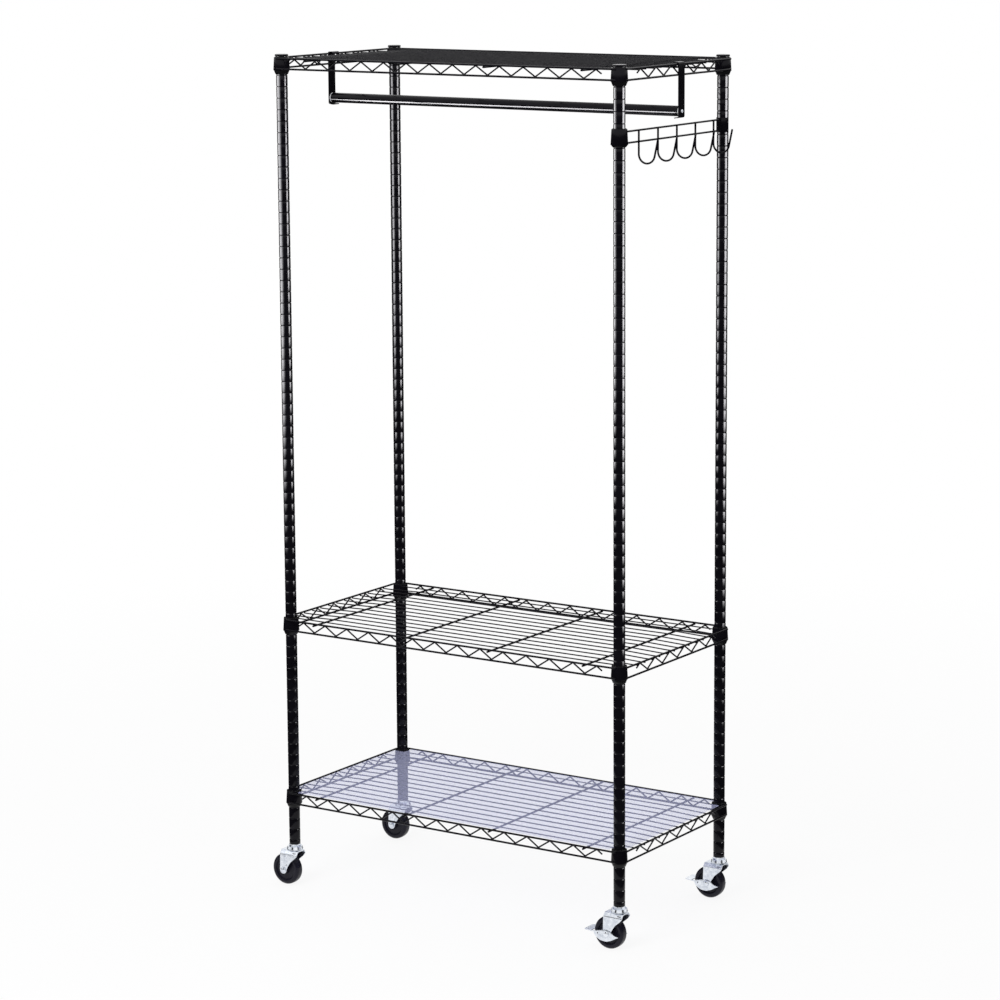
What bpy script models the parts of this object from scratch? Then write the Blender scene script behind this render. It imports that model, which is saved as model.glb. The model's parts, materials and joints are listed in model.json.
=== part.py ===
"""Rolling clothes rack with three wire shelves, a hanging bar, a side hook rail and four swivel casters.

Metres, +Z up. The origin is on the floor midway between the four posts. +X runs along the rack
towards the hook rail, -Y is the front and every shelf sits on split sleeves at the post grooves.
"""

import math

import bmesh
import bpy
import numpy as np
from mathutils import Matrix, Vector

# Frame
POST_SPACING_X = 0.876
POST_SPACING_Y = 0.432
FIT_GAP = 0.0003
WELD_SINK = 0.0004
CUT_OVERRUN = 0.004

# Grooved posts, each in two screwed lengths
POST_RADIUS = 0.0127
POST_WALL = 0.0012
LOWER_POST_LENGTH = 0.900
UPPER_POST_LENGTH = 0.905
GROOVE_PITCH = 0.0254
GROOVE_DEPTH = 0.0006
GROOVE_HALF_WIDTH = 0.0014
FIRST_GROOVE_HEIGHT = 0.0615
FOOT_INSERT_LENGTH = 0.026
TUBE_SIDES = 12
SMALL_SIDES = 10

# Threaded joiner between two post lengths
JOINER_RADIUS = 0.0085
JOINER_REACH = 0.024

# Post caps
CAP_DOME = 0.0042
CAP_DOME_RADIUS_SHARE = 0.55
CAP_PLUG_LENGTH = 0.012

# Seats: the grooves that the split sleeves grip, counted from the lowest
BOTTOM_GROOVE = 2
MIDDLE_GROOVE = 18
HOOK_GROOVES_BELOW_TOP = 5
SEAT_BELOW_GROOVE = 0.0045

# Split sleeves
SLEEVE_HEIGHT = 0.038
SLEEVE_RIM = 0.0012
SLEEVE_WALL_TOP = 0.0014
SLEEVE_WALL_LOW = 0.0024
SLEEVE_FOOT_WALL = 0.0010
SLEEVE_SLIT = 0.004
RIDGE_HEIGHT = 0.0006
RIDGE_HALF_WIDTH = 0.0011

# Steel collars
COLLAR_HEIGHT = 0.0296
COLLAR_WALL = 0.0018
COLLAR_BEVEL = 0.0012
CONE_HEIGHT = 0.0072

# Shelf wires
RAIL_RADIUS = 0.0020
DECK_RADIUS = 0.0013
SNAKE_RADIUS = 0.0015
WIRE_SIDES = 4
LONG_RAIL_DROP = 0.0030
LOW_RAIL_DROP = 0.0272
DECK_WIRES = 14
RAIL_OVERHANG = 0.0035
CROSS_WIRE_SHARES = (0.09, 0.37, 0.63, 0.91)
CROSS_WIRE_NUB = 0.0030
LONG_SNAKE_PEAKS = 14
LONG_SNAKE_MARGIN = 0.0473
SIDE_SNAKE_PEAKS = 6
SIDE_SNAKE_MARGIN = 0.0590
SNAKE_STUB_SHARE = 0.45

# Hanging bar
BAR_RADIUS = 0.01125
BAR_WALL = 0.0012
BAR_DROP = 0.103
BAR_PLUG_LENGTH = 0.015
BAR_PLUG_FLANGE = 0.0022
BAR_SCREW_RADIUS = 0.0020
BAR_SCREW_LENGTH = 0.013
BAR_SCREW_HEAD_RADIUS = 0.0040
BAR_SCREW_HEAD_HEIGHT = 0.0022

# Bar brackets, bent from strap
STRAP_WIDTH = 0.025
STRAP_THICKNESS = 0.0020
STRAP_LIP = 0.0110
STRAP_RETURN_INSET = 0.0140
STRAP_RETURN_DROP = 0.0120
STRAP_NOTCH = 0.0100
STRAP_NOTCH_DEPTH = 0.0090

# Side hook rail
HOOK_COUNT = 5
HOOK_WIRE_RADIUS = 0.0019
HOOK_SIDES = 5
HOOK_ARC_STEPS = 5
HOOK_TOP_WIRE_RISE = 0.0114
HOOK_LOW_WIRE_DROP = 0.0125
HOOK_FIRST = 0.0717
HOOK_LAST = 0.0468
HOOK_REACH = 0.0467
HOOK_DEPTH = 0.0450
HOOK_TIP_RISE = 0.0070
HOOK_BEND_RADIUS = 0.0195
HOOK_COLLAR_HEIGHT = 0.0336
CLIP_WALL = 0.0012
CLIP_MARGIN = 0.0040
CLIP_SPAN_SHARE = 0.5

# Shelf liner
LINER_THICKNESS = 0.0010
LINER_EDGE_GAP = 0.0010
LINER_CORNER_GAP = 0.0015
LINER_CORNER_RADIUS = 0.0060
LINER_CORNER_STEPS = 3

# Casters
WHEEL_RADIUS = 0.0365
WHEEL_WIDTH = 0.0220
WHEEL_EDGE_ROUND = 0.0045
WHEEL_RIM_DEPTH = 0.0105
WHEEL_RECESS = 0.0040
WHEEL_HUB_RADIUS = 0.0100
WHEEL_HUB_PROUD = 0.0028
WHEEL_SIDES = 16
AXLE_RADIUS = 0.0040
AXLE_HEAD_RADIUS = 0.0068
AXLE_HEAD_HEIGHT = 0.0036
CASTER_TRAIL = 0.022
FORK_WALL = 0.0022
FORK_SIDE_GAP = 0.0020
FORK_CROWN_GAP = 0.0038
FORK_CROWN_WALL = 0.0026
FORK_TIP_RADIUS = 0.0092
FORK_HEEL = 0.0290
FORK_TOE = 0.0165
FORK_CURVE_STEPS = 5
FORK_WAIST_SHARE = 0.42
RACE_RADIUS = 0.0180
RACE_TOP_SHARE = 0.80
RACE_HEIGHT = 0.0050
KINGPIN_RADIUS = 0.0048
KINGPIN_HEAD_RADIUS = 0.0072
KINGPIN_HEAD_HEIGHT = 0.0018
CUP_RADIUS = 0.0190
CUP_TOP_RADIUS = 0.0174
CUP_HEIGHT = 0.0090
STEM_RADIUS = 0.0050
STEM_NUT_RADIUS = 0.0128
STEM_NUT_HEIGHT = 0.0050
STEM_LENGTH = 0.022
STEM_CHAMFER = 0.0012

# Brake pedals on the +X casters
PEDAL_WALL = 0.0015
PEDAL_HALF_LENGTH = 0.0305
PEDAL_RISE = 0.0080
PEDAL_FALL = 0.0165
PEDAL_TREAD_GAP = 0.0025
PEDAL_TAB_LENGTH = 0.0180
PEDAL_TAB_WALL = 0.0022
PEDAL_TAB_HEIGHT = 0.0004
PEDAL_TAB_LIFT = 0.0010
PEDAL_CURVE_STEPS = 6

# Colours as linear RGB
BLACK_COAT = (0.010, 0.010, 0.012, 1.0)
BLACK_PLASTIC = (0.014, 0.014, 0.016, 1.0)
ZINC = (0.78, 0.79, 0.82, 1.0)
WHEEL_RUBBER = (0.022, 0.020, 0.028, 1.0)
LINER_TINT = (0.80, 0.80, 0.95, 1.0)
PALE_PLUG = (0.72, 0.72, 0.74, 1.0)

# Sizes worked out from the ones above
HALF_X = POST_SPACING_X / 2
HALF_Y = POST_SPACING_Y / 2
CROWN_UNDER = 2 * WHEEL_RADIUS + FORK_CROWN_GAP
CROWN_TOP = CROWN_UNDER + FORK_CROWN_WALL
CUP_UNDER = CROWN_TOP + RACE_HEIGHT + FIT_GAP
CASTER_HEIGHT = CUP_UNDER + CUP_HEIGHT + STEM_NUT_HEIGHT + FIT_GAP
POST_LENGTH = LOWER_POST_LENGTH + FIT_GAP + UPPER_POST_LENGTH
POST_TOP = CASTER_HEIGHT + POST_LENGTH
SLEEVE_ABOVE_GROOVE = SLEEVE_HEIGHT / 2 - SEAT_BELOW_GROOVE + SLEEVE_RIM
TOP_GROOVE = math.floor((POST_LENGTH - FIRST_GROOVE_HEIGHT - SLEEVE_ABOVE_GROOVE) / GROOVE_PITCH)
HOOK_GROOVE = TOP_GROOVE - HOOK_GROOVES_BELOW_TOP
SHELF_GROOVES = {"bottom": BOTTOM_GROOVE, "middle": MIDDLE_GROOVE, "top": TOP_GROOVE}
HOOK_SPACING = (POST_SPACING_Y - HOOK_FIRST - HOOK_LAST) / (HOOK_COUNT - 1)
SLEEVE_BORE = POST_RADIUS + FIT_GAP
SLEEVE_TOP_RADIUS = SLEEVE_BORE + SLEEVE_WALL_TOP
SLEEVE_LOW_RADIUS = SLEEVE_BORE + SLEEVE_WALL_LOW
COLLAR_TOP_RADIUS = SLEEVE_TOP_RADIUS + FIT_GAP + COLLAR_WALL
COLLAR_LOW_RADIUS = SLEEVE_LOW_RADIUS + FIT_GAP + COLLAR_WALL
RAIL_OFFSET = COLLAR_LOW_RADIUS + RAIL_RADIUS - 2 * WELD_SINK
DECK_DROP = LONG_RAIL_DROP + RAIL_RADIUS - DECK_RADIUS
SIDE_RAIL_DROP = DECK_DROP + DECK_RADIUS + RAIL_RADIUS - WELD_SINK
SNAKE_INSET = RAIL_RADIUS + SNAKE_RADIUS - WELD_SINK
LEG_INNER = WHEEL_WIDTH / 2 + WHEEL_HUB_PROUD + FORK_SIDE_GAP
LEG_OUTER = LEG_INNER + FORK_WALL
CORNERS = {"front_left": (-1, -1), "front_right": (1, -1), "back_left": (-1, 1), "back_right": (1, 1)}
BRAKED = ("front_right", "back_right")


def clear_scene():
    """Removes whatever the file opened with."""
    for old in list(bpy.data.objects):
        bpy.data.objects.remove(old, do_unlink=True)


def make_material(name, colour, roughness, metallic, coat=0.0):
    """One Principled material for a finish."""
    material = bpy.data.materials.new(name)
    material.use_nodes = True
    shader = material.node_tree.nodes["Principled BSDF"]
    shader.inputs["Base Color"].default_value = colour
    shader.inputs["Roughness"].default_value = roughness
    shader.inputs["Metallic"].default_value = metallic
    shader.inputs["Coat Weight"].default_value = coat
    material.diffuse_color = colour
    return material


def add_object(name, mesh, material, place=(0, 0, 0), parent=None):
    """Puts a mesh into the scene, smooth shaded, with its own material."""
    if not mesh.materials:
        mesh.materials.append(material)
    mesh.shade_smooth()
    mesh.set_sharp_from_angle(angle=math.radians(40))
    made = bpy.data.objects.new(name, mesh)
    bpy.context.scene.collection.objects.link(made)
    made.location = place
    made.parent = parent
    return made


def add_empty(name, place, parent=None):
    """A parent on a joint's axis."""
    made = bpy.data.objects.new(name, None)
    bpy.context.scene.collection.objects.link(made)
    made.location = place
    made.parent = parent
    return made


def mesh_from(name, points, faces):
    """A closed mesh with its faces turned outwards."""
    shape = bmesh.new()
    verts = [shape.verts.new(point) for point in points]
    for face in faces:
        shape.faces.new([verts[index] for index in face])
    bmesh.ops.recalc_face_normals(shape, faces=shape.faces)
    mesh = bpy.data.meshes.new(name)
    shape.to_mesh(mesh)
    shape.free()
    return mesh


def turned(name, profile, sides):
    """Revolves a closed outline of (radius, height) pairs about Z. A radius of zero is on the axis."""
    points, rings = [], []
    for radius, height in profile:
        if radius == 0:
            rings.append([len(points)] * sides)
            points.append((0, 0, height))
            continue
        rings.append([len(points) + step for step in range(sides)])
        for step in range(sides):
            turn = 2 * math.pi * step / sides
            points.append((radius * math.cos(turn), radius * math.sin(turn), height))
    faces = []
    for ring, after in zip(rings, rings[1:] + rings[:1]):
        for step in range(sides):
            nxt = (step + 1) % sides
            face = list(dict.fromkeys([ring[step], ring[nxt], after[nxt], after[step]]))
            if len(face) > 2:
                faces.append(face)
    return mesh_from(name, points, faces)


def swept_outline(name, profile, directions):
    """Sweeps a closed outline of (radius, height) pairs round a list of plan directions, ends closed."""
    count = len(profile)
    points = []
    for x, y in directions:
        points += [(radius * x, radius * y, height) for radius, height in profile]
    faces = [list(range(count)), list(range(len(points) - count, len(points)))]
    for ring in range(len(directions) - 1):
        for step in range(count):
            nxt = (step + 1) % count
            low, high = ring * count, (ring + 1) * count
            faces.append([low + step, low + nxt, high + nxt, high + step])
    return mesh_from(name, points, faces)


def split_turned(name, profile, sides, slit, slit_side):
    """Revolves a closed outline, leaving a slit open in the middle of one numbered polygon side."""
    corners = []
    for step in range(sides + 1):
        turn = 2 * math.pi * (slit_side + step) / sides
        corners.append((math.cos(turn), math.sin(turn)))
    open_share = slit / (2 * profile[0][0] * math.sin(math.pi / sides))

    def on_slit_side(share):
        (x0, y0), (x1, y1) = corners[0], corners[1]
        return x0 * (1 - share) + x1 * share, y0 * (1 - share) + y1 * share

    start, end = on_slit_side((1 + open_share) / 2), on_slit_side((1 - open_share) / 2)
    return swept_outline(name, profile, [start] + corners[1:] + [end])


def arc_turned(name, profile, sides, middle, half_span):
    """Part of a turned ring about one angle, with its corners on the full ring's corners."""
    step_turn = 2 * math.pi / sides
    first = math.ceil((middle - half_span) / step_turn)
    last = math.floor((middle + half_span) / step_turn)
    turns = [step * step_turn for step in range(first, last + 1)]
    return swept_outline(name, profile, [(math.cos(turn), math.sin(turn)) for turn in turns])


def wire(points, radius, sides, up=(0, 0, 1)):
    """(points, faces) of a wire with mitred corners along a route, its section turned so a corner faces up."""
    route = [Vector(point) for point in points]
    rings, corners = [], []
    for index, point in enumerate(route):
        before = (point - route[index - 1]).normalized() if index else None
        after = (route[index + 1] - point).normalized() if index + 1 < len(route) else None
        along = ((before or after) + (after or before)).normalized()
        stretch = 1 / max(along.dot(after or before), 0.3)
        side = along.cross(Vector(up))
        if side.length < 0.1:
            side = along.cross(Vector((1, 0, 0)))
        side.normalize()
        over = side.cross(along).normalized()
        bend = Vector((0, 0, 0))
        if before and after and (after - before).length > 0.01:
            bend = (after - before).normalized()
        ring = []
        for step in range(sides):
            turn = 2 * math.pi * step / sides
            offset = over * math.cos(turn) + side * math.sin(turn)
            offset += bend * offset.dot(bend) * (stretch - 1)
            ring.append(len(corners))
            corners.append(point + offset * radius)
        rings.append(ring)
    faces = [rings[0], rings[-1]]
    for ring, after in zip(rings, rings[1:]):
        for step in range(sides):
            nxt = (step + 1) % sides
            faces.append([ring[step], ring[nxt], after[nxt], after[step]])
    return corners, faces


def wires_mesh(name, wires):
    """One mesh of several separate closed wires."""
    shape = bmesh.new()
    for corners, faces in wires:
        verts = [shape.verts.new(corner) for corner in corners]
        made = [shape.faces.new([verts[index] for index in face]) for face in faces]
        bmesh.ops.recalc_face_normals(shape, faces=made)
    mesh = bpy.data.meshes.new(name)
    shape.to_mesh(mesh)
    shape.free()
    return mesh


def combined(name, base, tools, operation):
    """Applies exact Booleans to a copy of a base mesh. Base and tools may cross themselves in a union."""
    body = bpy.data.objects.new(name, base)
    bpy.context.scene.collection.objects.link(body)
    helpers = []
    for tool in tools:
        helper = bpy.data.objects.new(name + "_tool", tool)
        bpy.context.scene.collection.objects.link(helper)
        helpers.append(helper)
        step = body.modifiers.new(operation.lower(), "BOOLEAN")
        step.operation = operation
        step.solver = "EXACT"
        step.use_self = operation == "UNION"
        step.object = helper
    bpy.context.view_layer.update()
    graph = bpy.context.evaluated_depsgraph_get()
    mesh = bpy.data.meshes.new_from_object(body.evaluated_get(graph))
    for helper in [body] + helpers:
        bpy.data.objects.remove(helper, do_unlink=True)
    mesh.name = name
    mesh.materials.clear()
    return mesh


def joined_meshes(name, meshes):
    """Several meshes gathered in one, still as separate shells."""
    shape = bmesh.new()
    for mesh in meshes:
        shape.from_mesh(mesh)
    made = bpy.data.meshes.new(name)
    shape.to_mesh(made)
    shape.free()
    return made


def moved(mesh, matrix):
    """The same mesh after a turn or a shift."""
    mesh.transform(matrix)
    if matrix.determinant() < 0:
        mesh.flip_normals()
    return mesh


def plate(name, outline, low, high):
    """An outline of (x, z) pairs, extruded along Y from low to high."""
    count = len(outline)
    points = [(x, low, z) for x, z in outline] + [(x, high, z) for x, z in outline]
    faces = [list(range(count)), list(range(count, 2 * count))]
    for step in range(count):
        nxt = (step + 1) % count
        faces.append([step, nxt, count + nxt, count + step])
    return mesh_from(name, points, faces)


def groove_height(number):
    """World height of a post groove, counted from the lowest."""
    return CASTER_HEIGHT + FIRST_GROOVE_HEIGHT + number * GROOVE_PITCH


def seat_top(number):
    """World height of the top of the collar that sits at a groove."""
    return groove_height(number) - SEAT_BELOW_GROOVE + SLEEVE_HEIGHT / 2


def post_outline(length, bottom, grooves, low_bore, low_bore_depth, high_bore, high_bore_depth):
    """Closed outline of one post length: grooved outside, two bores that narrow at the ends inside."""
    outside = [(POST_RADIUS, 0)]
    for number in sorted(grooves):
        height = groove_height(number) - bottom
        outside += [
            (POST_RADIUS, height - GROOVE_HALF_WIDTH),
            (POST_RADIUS - GROOVE_DEPTH, height),
            (POST_RADIUS, height + GROOVE_HALF_WIDTH),
        ]
    outside.append((POST_RADIUS, length))
    bore = POST_RADIUS - POST_WALL
    inside = []
    if high_bore_depth:
        inside += [(high_bore, length), (high_bore, length - high_bore_depth)]
        inside.append((bore, length - high_bore_depth))
    else:
        inside.append((bore, length))
    if low_bore_depth:
        inside += [(bore, low_bore_depth), (low_bore, low_bore_depth), (low_bore, 0)]
    else:
        inside.append((bore, 0))
    return outside + inside


def add_posts(coat, dark_steel):
    """Four posts, each a lower and an upper length on a joiner, and their domed caps."""
    lower_bottom = CASTER_HEIGHT
    upper_bottom = CASTER_HEIGHT + LOWER_POST_LENGTH + FIT_GAP
    joiner_bore = JOINER_RADIUS + FIT_GAP
    stem_bore = STEM_RADIUS + FIT_GAP
    reach = JOINER_REACH + FIT_GAP
    bore = POST_RADIUS - POST_WALL
    low_seats = [SHELF_GROOVES["bottom"], SHELF_GROOVES["middle"]]
    lower = turned(
        "post_lower",
        post_outline(
            LOWER_POST_LENGTH, lower_bottom, low_seats, stem_bore, FOOT_INSERT_LENGTH, joiner_bore, reach
        ),
        TUBE_SIDES,
    )
    joiner = turned(
        "post_joiner",
        [
            (0, -JOINER_REACH),
            (JOINER_RADIUS - STEM_CHAMFER, -JOINER_REACH),
            (JOINER_RADIUS, STEM_CHAMFER - JOINER_REACH),
            (JOINER_RADIUS, JOINER_REACH - STEM_CHAMFER),
            (JOINER_RADIUS - STEM_CHAMFER, JOINER_REACH),
            (0, JOINER_REACH),
        ],
        TUBE_SIDES,
    )
    cap = turned(
        "post_cap",
        [
            (0, -CAP_PLUG_LENGTH),
            (bore - FIT_GAP, -CAP_PLUG_LENGTH),
            (bore - FIT_GAP, FIT_GAP),
            (POST_RADIUS, FIT_GAP),
            (POST_RADIUS, CAP_DOME / 3),
            (POST_RADIUS * CAP_DOME_RADIUS_SHARE, CAP_DOME),
            (0, CAP_DOME),
        ],
        TUBE_SIDES,
    )
    for corner, (along, across) in CORNERS.items():
        seats = [SHELF_GROOVES["top"]] + ([HOOK_GROOVE] if corner == "front_right" else [])
        upper = turned(
            "post_upper_" + corner,
            post_outline(UPPER_POST_LENGTH, upper_bottom, seats, joiner_bore, reach, bore, 0),
            TUBE_SIDES,
        )
        x, y = along * HALF_X, across * HALF_Y
        add_object("post_lower_" + corner, lower, coat, (x, y, lower_bottom))
        add_object("post_upper_" + corner, upper, coat, (x, y, upper_bottom))
        add_object("post_joiner_" + corner, joiner, dark_steel, (x, y, upper_bottom - FIT_GAP / 2))
        add_object("post_cap_" + corner, cap, coat, (x, y, POST_TOP))


def sleeve_mesh(collar_height):
    """A split sleeve, its origin at its collar's top: rim above, taper, cone below, ridge in the groove."""
    ridge = SEAT_BELOW_GROOVE - SLEEVE_HEIGHT / 2
    foot = -SLEEVE_HEIGHT
    profile = [
        (SLEEVE_BORE, SLEEVE_RIM),
        (SLEEVE_TOP_RADIUS, SLEEVE_RIM),
        (SLEEVE_LOW_RADIUS, -collar_height - FIT_GAP),
        (COLLAR_LOW_RADIUS - COLLAR_BEVEL, -collar_height - FIT_GAP),
        (SLEEVE_BORE + SLEEVE_FOOT_WALL, foot),
        (SLEEVE_BORE, foot),
        (SLEEVE_BORE, ridge - RIDGE_HALF_WIDTH),
        (SLEEVE_BORE - RIDGE_HEIGHT, ridge),
        (SLEEVE_BORE, ridge + RIDGE_HALF_WIDTH),
    ]
    return split_turned("split_sleeve", profile, TUBE_SIDES, SLEEVE_SLIT, 1)


def add_sleeves(plastic):
    """One split sleeve at each shelf corner and one under the hook rail's collar."""
    mesh = sleeve_mesh(COLLAR_HEIGHT)
    for level, groove in SHELF_GROOVES.items():
        for corner, (along, across) in CORNERS.items():
            place = (along * HALF_X, across * HALF_Y, seat_top(groove))
            add_object("sleeve_" + level + "_" + corner, mesh, plastic, place)
    place = (HALF_X, -HALF_Y, seat_top(HOOK_GROOVE))
    add_object("sleeve_hook_rail", sleeve_mesh(HOOK_COLLAR_HEIGHT), plastic, place)


def collar_mesh(height):
    """A steel collar whose bore follows its sleeve's taper, with its origin at its top."""
    bore_top, bore_low = SLEEVE_TOP_RADIUS + FIT_GAP, SLEEVE_LOW_RADIUS + FIT_GAP
    profile = [
        (bore_top, 0),
        (COLLAR_TOP_RADIUS - COLLAR_BEVEL, 0),
        (COLLAR_TOP_RADIUS, -COLLAR_BEVEL),
        (COLLAR_LOW_RADIUS, -height),
        (bore_low, -height),
    ]
    return turned("collar", profile, TUBE_SIDES)


def snake_route(length, margin, peaks, top, low):
    """(distance along, height) of a zigzag wire: peaks at the top rail, stubs left free at both ends."""
    pitch = (length - 2 * margin) / (peaks - 1)
    stub = pitch / 2 * SNAKE_STUB_SHARE
    stub_height = top + (low - top) * SNAKE_STUB_SHARE
    route = [(margin - stub, stub_height)]
    for index in range(2 * peaks - 1):
        route.append((margin + index * pitch / 2, low if index % 2 else top))
    route.append((length - margin + stub, stub_height))
    return route


def shelf_wires():
    """Every wire of one shelf, with the shelf's origin at the top of its collars."""
    wires = []
    rail_x, rail_y = HALF_X + RAIL_OFFSET, HALF_Y + RAIL_OFFSET
    long_end, side_end = HALF_X + RAIL_OVERHANG, HALF_Y + RAIL_OVERHANG
    for side in (-1, 1):
        for drop in (LONG_RAIL_DROP, LOW_RAIL_DROP):
            ends = [(-long_end, side * rail_y, -drop), (long_end, side * rail_y, -drop)]
            wires.append(wire(ends, RAIL_RADIUS, WIRE_SIDES))
        for drop in (SIDE_RAIL_DROP, LOW_RAIL_DROP):
            ends = [(side * rail_x, -side_end, -drop), (side * rail_x, side_end, -drop)]
            wires.append(wire(ends, RAIL_RADIUS, WIRE_SIDES))
        route = snake_route(
            POST_SPACING_X, LONG_SNAKE_MARGIN, LONG_SNAKE_PEAKS, -LONG_RAIL_DROP, -LOW_RAIL_DROP
        )
        snake_y = side * (rail_y - SNAKE_INSET)
        points = [(along - HALF_X, snake_y, height) for along, height in route]
        wires.append(wire(points, SNAKE_RADIUS, WIRE_SIDES, up=(0, 1, 0)))
        route = snake_route(
            POST_SPACING_Y, SIDE_SNAKE_MARGIN, SIDE_SNAKE_PEAKS, -SIDE_RAIL_DROP, -LOW_RAIL_DROP
        )
        snake_x = side * (rail_x - SNAKE_INSET)
        points = [(snake_x, along - HALF_Y, height) for along, height in route]
        wires.append(wire(points, SNAKE_RADIUS, WIRE_SIDES, up=(1, 0, 0)))
    weld_radius = SLEEVE_LOW_RADIUS + 2 * FIT_GAP
    for y in np.linspace(-rail_y, rail_y, DECK_WIRES + 2)[1:-1]:
        beside_post = HALF_Y - abs(y)
        end = rail_x + DECK_RADIUS
        if beside_post < COLLAR_TOP_RADIUS:
            end = HALF_X - math.sqrt(weld_radius**2 - beside_post**2)
        wires.append(wire([(-end, y, -DECK_DROP), (end, y, -DECK_DROP)], DECK_RADIUS, WIRE_SIDES))
    for share in CROSS_WIRE_SHARES:
        x = POST_SPACING_X * share - HALF_X
        reach = rail_y + RAIL_RADIUS + CROSS_WIRE_NUB
        ends = [(x, -reach, -SIDE_RAIL_DROP), (x, reach, -SIDE_RAIL_DROP)]
        wires.append(wire(ends, RAIL_RADIUS, WIRE_SIDES))
    return wires


def add_shelves(coat):
    """Three welded shelves from one mesh: four trusses, the deck wires, the cross wires and four collars."""
    collars = []
    for along, across in CORNERS.values():
        shift = Matrix.Translation((along * HALF_X, across * HALF_Y, 0))
        collars.append(moved(collar_mesh(COLLAR_HEIGHT), shift))
    mesh = combined(
        "wire_shelf",
        wires_mesh("shelf_wires", shelf_wires()),
        [joined_meshes("shelf_collars", collars)],
        "UNION",
    )
    for level, groove in SHELF_GROOVES.items():
        add_object("shelf_" + level, mesh, coat, (0, 0, seat_top(groove)))


def hook_route(y, centre):
    """A coat hook: down past both wires, round the bend and up to its tip, outwards along +X."""
    start = centre + HOOK_TOP_WIRE_RISE
    bottom = centre - HOOK_LOW_WIRE_DROP - HOOK_DEPTH
    tip = centre - HOOK_LOW_WIRE_DROP + HOOK_TIP_RISE
    back = HALF_X + 2 * HOOK_WIRE_RADIUS - WELD_SINK
    points = [(back, y, start)]
    for step in range(HOOK_ARC_STEPS + 1):
        turn = math.pi + math.pi * step / HOOK_ARC_STEPS * (1 - 1 / (2 * HOOK_ARC_STEPS))
        x = back + HOOK_BEND_RADIUS * (1 + math.cos(turn))
        points.append((x, y, bottom + HOOK_BEND_RADIUS * (1 + math.sin(turn))))
    points.append((back + HOOK_REACH, y, tip))
    return points


def add_hook_rail(coat):
    """Two wires with five hooks, a collar on the front post and a saddle clip against the back post."""
    seat = seat_top(HOOK_GROOVE)
    centre = seat - SLEEVE_HEIGHT / 2
    front = -HALF_Y + SLEEVE_LOW_RADIUS + 2 * FIT_GAP
    back = HALF_Y - SLEEVE_BORE - CLIP_WALL / 2
    wires = []
    for height in (centre + HOOK_TOP_WIRE_RISE, centre - HOOK_LOW_WIRE_DROP):
        ends = [(HALF_X, front, height), (HALF_X, back, height)]
        wires.append(wire(ends, HOOK_WIRE_RADIUS, WIRE_SIDES))
    for index in range(HOOK_COUNT):
        y = -HALF_Y + HOOK_FIRST + index * HOOK_SPACING
        wires.append(wire(hook_route(y, centre), HOOK_WIRE_RADIUS, HOOK_SIDES, up=(0, 1, 0)))
    collar = moved(collar_mesh(HOOK_COLLAR_HEIGHT), Matrix.Translation((HALF_X, -HALF_Y, seat)))
    low = centre - HOOK_LOW_WIRE_DROP - CLIP_MARGIN
    high = centre + HOOK_TOP_WIRE_RISE + CLIP_MARGIN
    clip_outer = SLEEVE_BORE + CLIP_WALL
    ring = [(SLEEVE_BORE, low), (clip_outer, low), (clip_outer, high), (SLEEVE_BORE, high)]
    clip = arc_turned("saddle_clip", ring, TUBE_SIDES, -math.pi / 2, math.pi * CLIP_SPAN_SHARE)
    clip = moved(clip, Matrix.Translation((HALF_X, HALF_Y, 0)))
    mesh = combined(
        "hook_rail", wires_mesh("hook_wires", wires), [joined_meshes("hook_ends", [collar, clip])], "UNION"
    )
    add_object("hook_rail", mesh, coat)


def add_bar(coat, pale, bright):
    """The hanging bar, its end plugs, the strap brackets that hook over the top shelf and their screws."""
    top = seat_top(SHELF_GROOVES["top"])
    height = top - BAR_DROP
    strap_inner = HALF_X + RAIL_OFFSET + RAIL_RADIUS + FIT_GAP
    half_length = strap_inner - FIT_GAP - BAR_PLUG_FLANGE - FIT_GAP
    bore = BAR_RADIUS - BAR_WALL
    tube = turned(
        "hanging_bar",
        [(BAR_RADIUS, -half_length), (BAR_RADIUS, half_length), (bore, half_length), (bore, -half_length)],
        TUBE_SIDES,
    )
    along_x = Matrix.Rotation(math.pi / 2, 4, "Y")
    add_object("hanging_bar", moved(tube, along_x), coat, (0, 0, height))
    screw_bore = BAR_SCREW_RADIUS + FIT_GAP
    plug = [
        (screw_bore, -BAR_PLUG_LENGTH),
        (bore - FIT_GAP, -BAR_PLUG_LENGTH),
        (bore - FIT_GAP, FIT_GAP),
        (BAR_RADIUS, FIT_GAP),
        (BAR_RADIUS, FIT_GAP + BAR_PLUG_FLANGE),
        (screw_bore, FIT_GAP + BAR_PLUG_FLANGE),
    ]
    head = strap_inner + STRAP_THICKNESS + FIT_GAP
    screw = [
        (0, -BAR_SCREW_LENGTH),
        (BAR_SCREW_RADIUS, -BAR_SCREW_LENGTH),
        (BAR_SCREW_RADIUS, 0),
        (BAR_SCREW_HEAD_RADIUS, 0),
        (BAR_SCREW_HEAD_RADIUS, BAR_SCREW_HEAD_HEIGHT / 2),
        (BAR_SCREW_HEAD_RADIUS / 2, BAR_SCREW_HEAD_HEIGHT),
        (0, BAR_SCREW_HEAD_HEIGHT),
    ]
    for side, end in ((-1, "left"), (1, "right")):
        turn = Matrix.Rotation(side * math.pi / 2, 4, "Y")
        plug_mesh = moved(turned("bar_plug_" + end, plug, TUBE_SIDES), turn)
        add_object("bar_plug_" + end, plug_mesh, pale, (side * half_length, 0, height))
        screw_mesh = moved(turned("bar_screw_" + end, screw, SMALL_SIDES), turn)
        add_object("bar_screw_" + end, screw_mesh, bright, (side * head, 0, height))
        bracket = bracket_mesh(strap_inner, height - top, screw_bore)
        if side < 0:
            bracket = moved(bracket, Matrix.Scale(-1, 4, (1, 0, 0)))
        add_object("bar_bracket_" + end, bracket, coat, (0, 0, top))


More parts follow.
